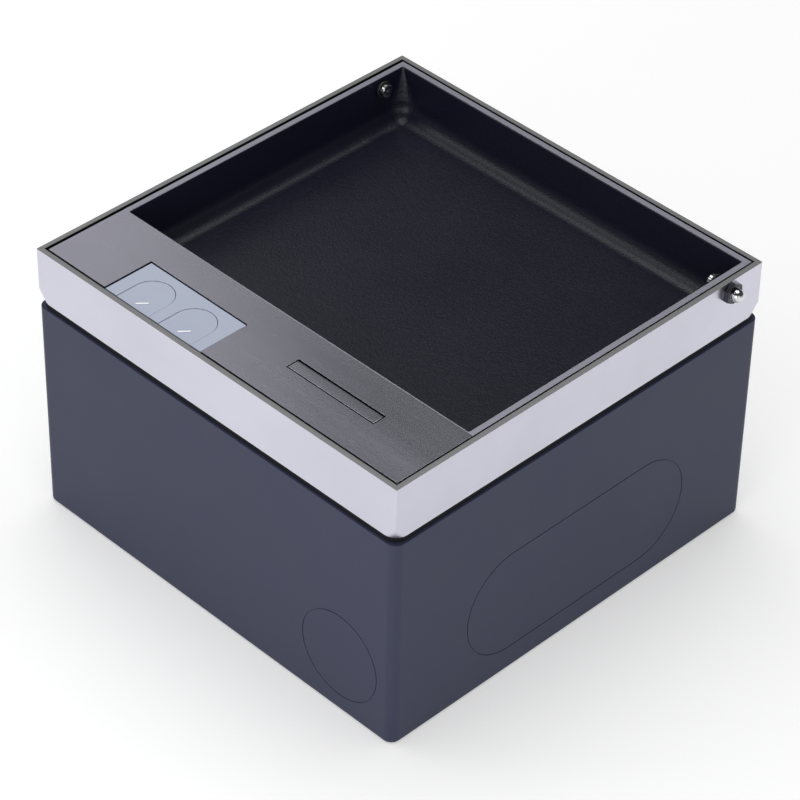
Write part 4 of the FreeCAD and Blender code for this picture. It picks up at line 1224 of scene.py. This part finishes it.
@dataclass
class LidSteel(LidPart):
    """The lid's ground steel: folded lips, and the strip with the notch and the slot."""

    plate: float = 3.0 * MM
    arris: float = 0.22 * MM
    outlet_flange: float = 7.5 * MM
    notch_left: float = 1.3 * MM
    notch_right: float = 0.2 * MM
    notch_rear: float = 0.9 * MM
    handle_gap: float = 0.6 * MM
    handle_rear_gap: float = 0.3 * MM
    pin_hole: float = 0.7 * MM
    screw_bite: float = 2.4 * MM

    def build(self) -> None:
        """Build the lid's steel."""
        fit(self.sheet(), "lid_frame")

    def sheet(self) -> bpy.types.Object:
        """Hollow a block into the lips and the strip, and soften its upper edges.

        Returns:
            The new object.
        """
        low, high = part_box("lid_frame")
        mouth = self.mouth()
        solid = Solid().brick(low, high)
        solid.cut(Solid().loft([(mouth, low.z - PAST), (mouth, high.z + PAST)]))
        tools = Solid()
        tools.brick((low.x + self.lip, low.y - PAST, low.z - PAST),
                    (high.x - self.lip, mouth.front + self.wall, high.z - self.plate))
        solid.cut(tools)
        solid.cut(self.gaps(low, high))
        solid.soften(solid.rim(high.z), self.arris)
        solid.cut(self.holes(high))
        return solid.object("lid_sheet")

    def gaps(self, low: Vector, high: Vector) -> Solid:
        """Make the outlet's notch and the handle's slot.

        Args:
            low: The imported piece's lowest corner.
            high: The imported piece's highest corner.

        Returns:
            Blocks to cut them with.
        """
        outlet_low, outlet_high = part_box("outlet_body")
        handle_low, handle_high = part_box("pull_handle")
        under = high.z - self.plate - PAST
        gaps = Solid()
        gaps.brick(
            (outlet_low.x + self.outlet_flange - self.notch_left, low.y - PAST, under),
            (outlet_high.x - self.outlet_flange + self.notch_right,
             outlet_high.y + self.notch_rear, high.z + PAST))
        gaps.brick(
            (handle_low.x - self.handle_gap, handle_low.y - self.handle_gap, under),
            (handle_high.x + self.handle_gap, handle_high.y + self.handle_rear_gap,
             high.z + PAST))
        return gaps

    def holes(self, high: Vector) -> Solid:
        """Make the holes of the bushes, the pin and the blind holes of the screws.

        Args:
            high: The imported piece's highest corner.

        Returns:
            Bars to cut them with.
        """
        hinge = joint_place("lid_hinge")
        pin_low, pin_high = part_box("handle_pin")
        pin = (pin_low + pin_high) / 2
        holes = Solid()
        holes.bar(Axis.X, (0, hinge.y, hinge.z), self.hinge_hole, 3 * high.x)
        holes.bar(Axis.X, tuple(pin), self.pin_hole, pin_high.x - pin_low.x, HOLE_STEPS)
        for group in ("tray_screws", "outlet_screws", "housing_screws"):
            for x, y in screw_places(group):
                holes.bar(Axis.Z, (x, y, high.z - self.plate), self.screw_hole,
                          2 * self.screw_bite, HOLE_STEPS)
        return holes


@dataclass
class LidTray(LidPart):
    """The recessed tray that takes the floor covering, its wall thin at the rim."""

    floor: float = 1.8 * MM
    corner: float = 9.0 * MM
    foot_height: float = 12.0 * MM
    lip_thickness: float = 2.0 * MM
    front_lip: float = 11.0 * MM
    side_lip: float = 2.7 * MM
    lip_bite: float = 0.4 * MM
    arris: float = 0.3 * MM
    rim: float = 0.6 * MM

    def build(self) -> None:
        """Build the tray."""
        fit(self.tub(), "lid_tray")

    def bend(self, plan: Plan, level: float, radius: float) -> List[Tuple[Plan, float]]:
        """Give the outlines of a round foot.

        Args:
            plan: The upright wall's outline.
            level: The height of the flat floor.
            radius: How far the wall bends into the floor.

        Returns:
            The outlines from the wall down to the floor.
        """
        levels = []
        for step in range(BEND_STEPS + 1):
            angle = math.pi / 2 * step / BEND_STEPS
            inset = radius * (1 - math.cos(angle))
            levels.append((plan.grown(-inset), level + radius * (1 - math.sin(angle))))
        return levels

    def tub(self) -> bpy.types.Object:
        """Loft the tub inside and out, add the lips under the lid and cut the holes.

        Returns:
            The new object.
        """
        lid_low, lid_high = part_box("lid_frame")
        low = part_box("lid_tray")[0]
        mouth = self.mouth()
        body = replace(mouth, radius=self.corner + self.wall)
        throat = mouth.grown(-self.wall, self.corner)
        collar = lid_low.z - self.lip_thickness
        outer = [
            (mouth, lid_high.z - self.arris),
            (mouth, collar),
            (body, collar - self.arris)] + self.bend(body, low.z, self.corner)
        inner = [
            (mouth.grown(-self.arris, self.mouth_bend), lid_high.z),
            (mouth.grown(-self.rim, self.mouth_bend), lid_high.z - self.arris),
            (throat, low.z + self.foot_height)]
        inner += self.bend(throat, low.z + self.floor, self.corner)
        solid = Solid().loft(outer[::-1] + inner, Ends.CAPPED, BEND_STEPS)
        solid.unite(self.lips(mouth, collar, lid_low.z, lid_high.z))
        hinge = joint_place("lid_hinge")
        holes = Solid().bar(Axis.X, (0, hinge.y, hinge.z), self.hinge_hole, 3 * lid_high.x)
        for x, y in screw_places("tray_screws"):
            holes.bar(Axis.Z, (x, y, lid_high.z - self.lip), self.screw_hole,
                      3 * self.lip_thickness, HOLE_STEPS)
        return solid.cut(holes).object("grained_tray")

    def lips(self, mouth: Plan, low: float, high: float, top: float) -> Solid:
        """Make the flat lips that lie under the lid's steel on all four sides.

        Args:
            mouth: The outline of the lid's opening.
            low: The side lips' underside.
            high: The side lips' top.
            top: The lid's top.

        Returns:
            The lips.
        """
        lips = Solid()
        inner = mouth.grown(-self.lip_bite)
        outer = mouth.grown(self.side_lip)
        lips.brick((outer.left, mouth.front, low), (inner.left, outer.rear, high))
        lips.brick((inner.right, mouth.front, low), (outer.right, outer.rear, high))
        lips.brick((inner.left - SLACK, inner.rear, low), (inner.right + SLACK, outer.rear, high))
        under = top - self.lip
        lips.brick((mouth.left, mouth.front - self.front_lip, under - self.lip_thickness),
                   (mouth.right, inner.front, under))
        return lips


@dataclass
class CableOutlet:
    """The plastic outlet in the strip's notch, with its two U-shaped flaps."""

    flange: float = 7.5 * MM
    flange_thickness: float = 2.0 * MM
    plate: float = 3.0 * MM
    flap_gap: float = 0.3 * MM
    front_wall: float = 1.6 * MM
    trunnion: float = 0.8 * MM
    trunnion_length: float = 1.8 * MM
    running: float = 0.06 * MM
    edge: float = 0.45 * MM
    sunk: float = 0.25 * MM
    screw_hole: float = 1.5 * MM
    ridge_width: float = 1.1 * MM
    ridge_height: float = 0.58 * MM
    ridge_length: float = 6.4 * MM
    ridge_round: float = 0.464 * MM
    ridge_steps: int = 3
    ridge_turn: float = 49.0
    ridge_inset: float = 4.6 * MM
    ridge_shift: float = 1.8 * MM

    def build(self) -> None:
        """Build the body and the two flaps."""
        fit(self.body(), "outlet_body")
        for side in ("left", "right"):
            fit(self.flap(side), f"flap_{side}")

    def body(self) -> bpy.types.Object:
        """Cut the seats, the wells and the bearings of the flaps into a flanged block.

        Returns:
            The new object.
        """
        low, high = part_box("outlet_body")
        solid = Solid().brick((low.x + self.flange, low.y, low.z),
                              (high.x - self.flange, high.y, high.z))
        under = high.z - self.plate
        solid.unite(Solid().brick((low.x, low.y, under - self.flange_thickness),
                                  (high.x, high.y, under)))
        tools = Solid()
        for side in ("left", "right"):
            leaf_low, leaf_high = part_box(f"flap_{side}")
            middle = (leaf_low.x + leaf_high.x) / 2
            width = leaf_high.x - leaf_low.x - 2 * self.trunnion_length + 2 * self.flap_gap
            tip = leaf_high.y + self.flap_gap
            seat = Solid().arch(middle, low.y - PAST, tip, width, leaf_low.z, high.z + PAST)
            solid.cut(seat)
            tools.arch(middle, low.y + self.front_wall, tip, width, low.z - PAST, high.z + PAST)
        solid.cut(tools)
        solid.soften(solid.rim(high.z), self.edge)
        holes = Solid()
        for side in ("left", "right"):
            pivot = joint_place(f"flap_{side}_pivot")
            leaf_low, leaf_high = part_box(f"flap_{side}")
            holes.bar(Axis.X, tuple(pivot), self.trunnion + self.running,
                      leaf_high.x - leaf_low.x + 2 * self.flap_gap, HOLE_STEPS)
        for x, y in screw_places("outlet_screws"):
            holes.bar(Axis.Z, (x, y, under), self.screw_hole, 3 * self.flange_thickness,
                      HOLE_STEPS)
        return solid.cut(holes).object("outlet_block")

    def flap(self, side: str) -> bpy.types.Object:
        """Raise the leaf with its soft edge, its diagonal finger ridge and its trunnions.

        Args:
            side: left or right.

        Returns:
            The new object.
        """
        low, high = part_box(f"flap_{side}")
        pivot = joint_place(f"flap_{side}_pivot")
        middle = (low.x + high.x) / 2
        width = high.x - low.x - 2 * self.trunnion_length
        top = high.z - self.sunk
        solid = Solid().arch(middle, low.y, high.y, width, low.z, top)
        solid.soften(solid.rim(top), self.edge)
        solid.unite(self.ridge(middle, low.y, top))
        solid.unite(Solid().bar(Axis.X, (middle, pivot.y, pivot.z), self.trunnion,
                                high.x - low.x, HOLE_STEPS))
        return solid.object(f"cable_flap_{side}")

    def ridge(self, middle: float, front: float, top: float) -> Solid:
        """Make the raised ridge that a fingertip pushes.

        Args:
            middle: The flap's middle in X.
            front: The flap's front edge.
            top: The flap's top.

        Returns:
            The ridge.
        """
        ridge = Solid()
        half = (self.ridge_length / 2, self.ridge_width / 2)
        ridge.brick((-half[0], -half[1], -self.ridge_height), (half[0], half[1], self.ridge_height))
        ridge.soften(ridge.corners(), self.ridge_round, self.ridge_steps)
        place = Matrix.Translation(
            Vector((middle + self.ridge_shift, front + self.ridge_inset, top)))
        turn = Matrix.Rotation(math.radians(self.ridge_turn), 4, "Z")
        bmesh.ops.transform(ridge.mesh, matrix=place @ turn, verts=ridge.mesh.verts)
        return ridge


@dataclass
class PullHandle:
    """The flush handle in the strip's slot."""

    pin_radius: float = 0.7 * MM
    running: float = 0.06 * MM
    arris: float = 0.2 * MM
    round_steps: int = 6

    def build(self) -> None:
        """Build the handle."""
        fit(self.grip(), "pull_handle")

    def grip(self) -> bpy.types.Object:
        """Round the plate along its pivot edge, soften the rest and bore it.

        Returns:
            The new object.
        """
        low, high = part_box("pull_handle")
        solid = Solid().brick(low, high)
        rear = [edge for edge in solid.corners()
                if all(vertex.co.y > high.y - SLACK for vertex in edge.verts)
                and abs(edge.verts[0].co.x - edge.verts[1].co.x) > MM]
        solid.soften(rear, (high.z - low.z) / 2 - self.running, self.round_steps)
        solid.soften(solid.corners(), self.arris)
        pivot = joint_place("handle_pivot")
        bore = Solid().bar(Axis.X, tuple(pivot), self.pin_radius + self.running,
                           high.x - low.x + 2 * PAST, HOLE_STEPS)
        return solid.cut(bore).object("flush_handle")


@dataclass
class LidHinge:
    """The two shoulder screws that the lid turns on, with a flush nut and a domed one."""

    shoulder: float = 2.5 * MM
    thread: float = 2.0 * MM
    head: float = 3.5 * MM
    head_height: float = 4.0 * MM
    head_low: float = 1.7 * MM
    socket: float = 3.2 * MM
    socket_depth: float = 2.0 * MM
    socket_bar: float = 4.0 * MM
    round_off: float = 0.35 * MM
    under_head: float = 0.1 * MM
    thread_chamfer: float = 0.3 * MM
    skirt_wall: float = 3.0 * MM
    flats: float = 10.0 * MM
    hexagon_height: float = 3.2 * MM
    flush_flats: float = 7.0 * MM
    flush_height: float = 1.2 * MM
    proud: float = 0.3 * MM
    dome: float = 3.3 * MM
    washer_face: float = 0.25 * MM
    corner_cut: float = 0.35 * MM

    def build(self) -> None:
        """Build the pieces of both sides."""
        fit(self.flush_nut("left", -1), "cap_nut_left")
        fit(self.nut("right", 1), "cap_nut_right")
        for side_name, side in (("left", -1), ("right", 1)):
            fit(self.screw(side_name, side), f"hinge_screw_{side_name}")

    @staticmethod
    def place(x: float, side: int) -> Matrix:
        """Lay the Z axis outwards along the hinge axis, from a place in X.

        Args:
            x: The place.
            side: -1 for the left and 1 for the right.

        Returns:
            The turn and the move.
        """
        hinge = joint_place("lid_hinge")
        turn = Matrix.Rotation(side * math.pi / 2, 4, "Y")
        return Matrix.Translation(Vector((x, hinge.y, hinge.z))) @ turn

    def flush_nut(self, side_name: str, side: int) -> bpy.types.Object:
        """Make the thin nut that the screw's end stands just out of.

        Args:
            side_name: left or right.
            side: -1 for the left and 1 for the right.

        Returns:
            The new object.
        """
        low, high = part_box(f"cap_nut_{side_name}")
        face = low.x if side > 0 else high.x
        solid = self.hexagon(self.place(face, side), self.flush_flats, self.flush_height)
        return solid.object(f"flush_nut_{side_name}")

    def hexagon(self, place: Matrix, flats: float, height: float) -> Solid:
        """Share a chamfered disc with a hexagon.

        Args:
            place: Lays the Z axis outwards.
            flats: The width across its flats.
            height: Its height.

        Returns:
            The solid.
        """
        reach = flats / math.sqrt(3)
        solid = Solid().turned(place, [
            (0, 0), (0, reach - self.corner_cut), (self.washer_face, reach),
            (height - self.corner_cut, reach), (height, reach - 2 * self.corner_cut),
            (height, 0)])
        middle = place @ Vector((0, 0, height / 2))
        return solid.work(Solid().bar(Axis.X, tuple(middle), reach, 2 * height, 6),
                          Joining.SHARE)

    def nut(self, side_name: str, side: int) -> bpy.types.Object:
        """Unite the hexagon with the dome.

        Args:
            side_name: left or right.
            side: -1 for the left and 1 for the right.

        Returns:
            The new object.
        """
        low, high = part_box(f"cap_nut_{side_name}")
        height = high.x - low.x
        place = self.place(low.x if side > 0 else high.x, side)
        solid = self.hexagon(place, self.flats, self.hexagon_height)
        neck = self.hexagon_height - self.washer_face
        crown = height - self.dome
        profile = [(neck, 0), (neck, self.dome), (crown, self.dome)]
        for step in range(1, BEND_STEPS + 1):
            angle = math.pi / 2 * step / BEND_STEPS
            profile.append((crown + self.dome * math.sin(angle), self.dome * math.cos(angle)))
        profile[-1] = (height, 0)
        solid.unite(Solid().turned(place, profile))
        return solid.object(f"domed_nut_{side_name}")

    def screw(self, side_name: str, side: int) -> bpy.types.Object:
        """Turn the screw's head, shoulder and threaded end, and cut its hexagon socket.

        Args:
            side_name: left or right.
            side: -1 for the left and 1 for the right.

        Returns:
            The new object.
        """
        low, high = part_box(f"hinge_screw_{side_name}")
        length = high.x - low.x
        if side < 0:
            length -= self.hexagon_height - self.flush_height - self.proud
        start = low.x if side > 0 else high.x
        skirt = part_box("frame_skirt")[1].x - self.skirt_wall
        shoulder_end = skirt - abs(start)
        place = self.place(start, side)
        solid = Solid().turned(place, [
            (self.head_low, 0), (self.head_low, self.head - self.round_off),
            (self.head_low + self.round_off, self.head),
            (self.head_height - self.under_head, self.head),
            (self.head_height, self.head - self.under_head), (self.head_height, self.shoulder),
            (shoulder_end, self.shoulder), (shoulder_end, self.thread),
            (length - self.thread_chamfer, self.thread),
            (length, self.thread - self.thread_chamfer), (length, 0)])
        middle = place @ Vector((0, 0, self.head_low + self.socket_depth - self.socket_bar / 2))
        socket = Solid().bar(Axis.X, tuple(middle), self.socket / math.sqrt(3),
                             self.socket_bar, 6)
        return solid.cut(socket).object(f"shoulder_screw_{side_name}")


@dataclass(frozen=True)
class SoftenedPieces:
    """The pieces whose packed form only needs softened edges: node, new name, width."""

    pieces: Tuple[Tuple[str, str, float], ...] = (
        ("frame_base", "flange_plate", 0.15 * MM),
        ("base_screws", "corner_screws", 0.1 * MM),
        ("lid_rests", "rest_blocks", 0.3 * MM),
        ("rest_pads", "rest_pads_soft", 0.2 * MM),
        ("seat_strips", "tray_seats", 0.3 * MM),
        ("tray_screws", "tray_fixings", 0.15 * MM),
        ("outlet_screws", "outlet_fixings", 0.15 * MM),
        ("handle_pin", "pivot_pin", 0.1 * MM),
        ("handle_housing", "handle_cup", 0.2 * MM),
        ("housing_screws", "cup_fixings", 0.15 * MM),
        ("hinge_bush_left", "flanged_bush_left", 0.1 * MM),
        ("hinge_bush_right", "flanged_bush_right", 0.1 * MM),
        ("device_plate", "carrier_plate", 0.2 * MM),
        ("device_screws", "carrier_screws", 0.15 * MM),
        ("power_socket_left", "power_module_left", 0.25 * MM),
        ("data_socket_left", "data_module_left", 0.25 * MM),
        ("power_socket_right", "power_module_right", 0.25 * MM),
        ("data_socket_right", "data_module_right", 0.25 * MM),
        ("earth_stud", "brass_stud", 0.2 * MM),
        ("earth_nuts", "brass_nuts", 0.2 * MM),
    )

    def build(self) -> None:
        """Soften each piece."""
        for node, name, width in self.pieces:
            fit(soft_edges(node, name, width), node)


# Studio


@dataclass(frozen=True)
class Lamp:
    """One soft square lamp that looks at the object."""

    name: str
    place: Triple
    side: float
    power: float


@dataclass
class Studio:
    """The pale floor, the lamps, what metal reflects, and the camera."""

    target: Triple = (0.85 * MM, 1.46 * MM, 65.13 * MM)
    distance: float = 1665.7 * MM
    heading: float = -45.38
    height: float = 38.93
    roll: float = 1.28
    lens: float = 155.12
    sensor: float = 36.0
    floor_side: float = 12.0
    floor_drop: float = 0.2 * MM
    floor_color: float = 0.8
    floor_glow: float = 0.3
    ambient: float = 0.5
    mirror_low: Tuple[float, float] = (0.0, 0.55)
    mirror_high: Tuple[float, float] = (0.32, 0.05)
    lamps: Tuple[Lamp, ...] = (
        Lamp("overhead", (-0.25, 0.2, 1.6), 1.2, 8.6),
        Lamp("front", (0.36, -1.0, 0.4), 0.6, 3.0),
        Lamp("right", (0.95, -0.36, 0.4), 0.6, 0.9),
        Lamp("front_left", (-0.66, -0.5, 0.9), 0.5, 1.1),
        Lamp("rear_left", (-0.98, 0.42, 0.8), 0.6, 0.6),
    )

    def clear(self) -> None:
        """Remove the objects that a new file starts with."""
        for name in ("Cube", "Light", "Camera"):
            spare = bpy.data.objects.get(name)
            if spare is not None:
                bpy.data.objects.remove(spare)

    def build(self) -> None:
        """Set the floor, the lamps, the surroundings and the camera."""
        self.floor()
        for lamp in self.lamps:
            self.light(lamp)
        self.surroundings()
        self.camera()
        bpy.context.scene.view_settings.view_transform = "Standard"

    def floor(self) -> None:
        """Lay a pale floor that glows for the camera and in reflections, and keeps shadows."""
        mesh = bmesh.new()
        bmesh.ops.create_grid(mesh, x_segments=1, y_segments=1, size=self.floor_side / 2,
                              matrix=Matrix.Translation((0, 0, -self.floor_drop)))
        data = bpy.data.meshes.new("studio_floor")
        mesh.to_mesh(data)
        mesh.free()
        piece = bpy.data.objects.new("studio_floor", data)
        bpy.context.scene.collection.objects.link(piece)
        bench = Bench("pale_floor")
        seen = (bench.ray("Is Camera Ray") + bench.ray("Is Glossy Ray")
                + bench.ray("Is Transmission Ray"))
        white = (1.0, 1.0, 1.0)
        glow = bench.blend(seen * self.floor_glow, (0.0, 0.0, 0.0), white)
        data.materials.append(bench.dress(
            Base_Color=(*shaded(white, self.floor_color), 1.0), Roughness=1.0,
            Specular_IOR_Level=0.0, Emission_Color=glow, Emission_Strength=1.0))

    @staticmethod
    def aimed(place: Vector, target: Vector) -> Quaternion:
        """Give the turn that looks from a place at a target."""
        return (target - place).to_track_quat("-Z", "Y")

    def light(self, lamp: Lamp) -> None:
        """Hang one lamp.

        Args:
            lamp: Its name, place, side and power.
        """
        data = bpy.data.lights.new(lamp.name, "AREA")
        data.shape = "SQUARE"
        data.size = lamp.side
        data.energy = lamp.power
        made = bpy.data.objects.new(lamp.name, data)
        made.location = lamp.place
        made.rotation_mode = "QUATERNION"
        made.rotation_quaternion = self.aimed(Vector(lamp.place), Vector(self.target))
        bpy.context.scene.collection.objects.link(made)

    def surroundings(self) -> None:
        """Make the world white for the camera, even for light, and graded for reflections."""
        world = bpy.data.worlds.new("soft_room")
        bpy.context.scene.world = world
        world.use_nodes = True
        desk = Desk(world.node_tree)
        direction = desk.add("ShaderNodeTexCoord", {}, {}, "Generated")
        height = desk.add("ShaderNodeSeparateXYZ", {}, {0: direction}, "Z")
        mirror = desk.ramp(height, self.mirror_low, self.mirror_high)
        camera = desk.ray("Is Camera Ray")
        glossy = desk.ray("Is Glossy Ray")
        clear = desk.ray("Is Transmission Ray")
        light = glossy * mirror + (1 - glossy) * (clear + (1 - clear) * self.ambient)
        back = world.node_tree.nodes["Background"]
        desk.feed(back.inputs["Strength"], camera + (1 - camera) * light)
        back.inputs["Color"].default_value = (1.0, 1.0, 1.0, 1.0)

    def camera(self) -> None:
        """Stand the camera where the photograph was taken from."""
        heading = math.radians(self.heading)
        height = math.radians(self.height)
        back = Vector((math.cos(height) * math.cos(heading),
                       math.cos(height) * math.sin(heading), math.sin(height)))
        target = Vector(self.target)
        data = bpy.data.cameras.new("photo_camera")
        data.lens = self.lens
        data.sensor_width = self.sensor
        made = bpy.data.objects.new("photo_camera", data)
        made.location = target + back * self.distance
        made.rotation_mode = "QUATERNION"
        turn = Quaternion((0, 0, 1), math.radians(self.roll))
        made.rotation_quaternion = self.aimed(made.location, target) @ turn
        bpy.context.scene.collection.objects.link(made)
        bpy.context.scene.camera = made


def main() -> None:
    """Build the sub-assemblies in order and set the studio."""
    logging.basicConfig(level=logging.INFO, format="%(message)s")
    studio = Studio()
    studio.clear()
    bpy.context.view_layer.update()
    for assembly in (BackBox(), FloorFrame(), LidSteel(), LidTray(), CableOutlet(),
                     PullHandle(), LidHinge(), SoftenedPieces()):
        assembly.build()
    studio.build()


if __name__ == "__main__":
    main()
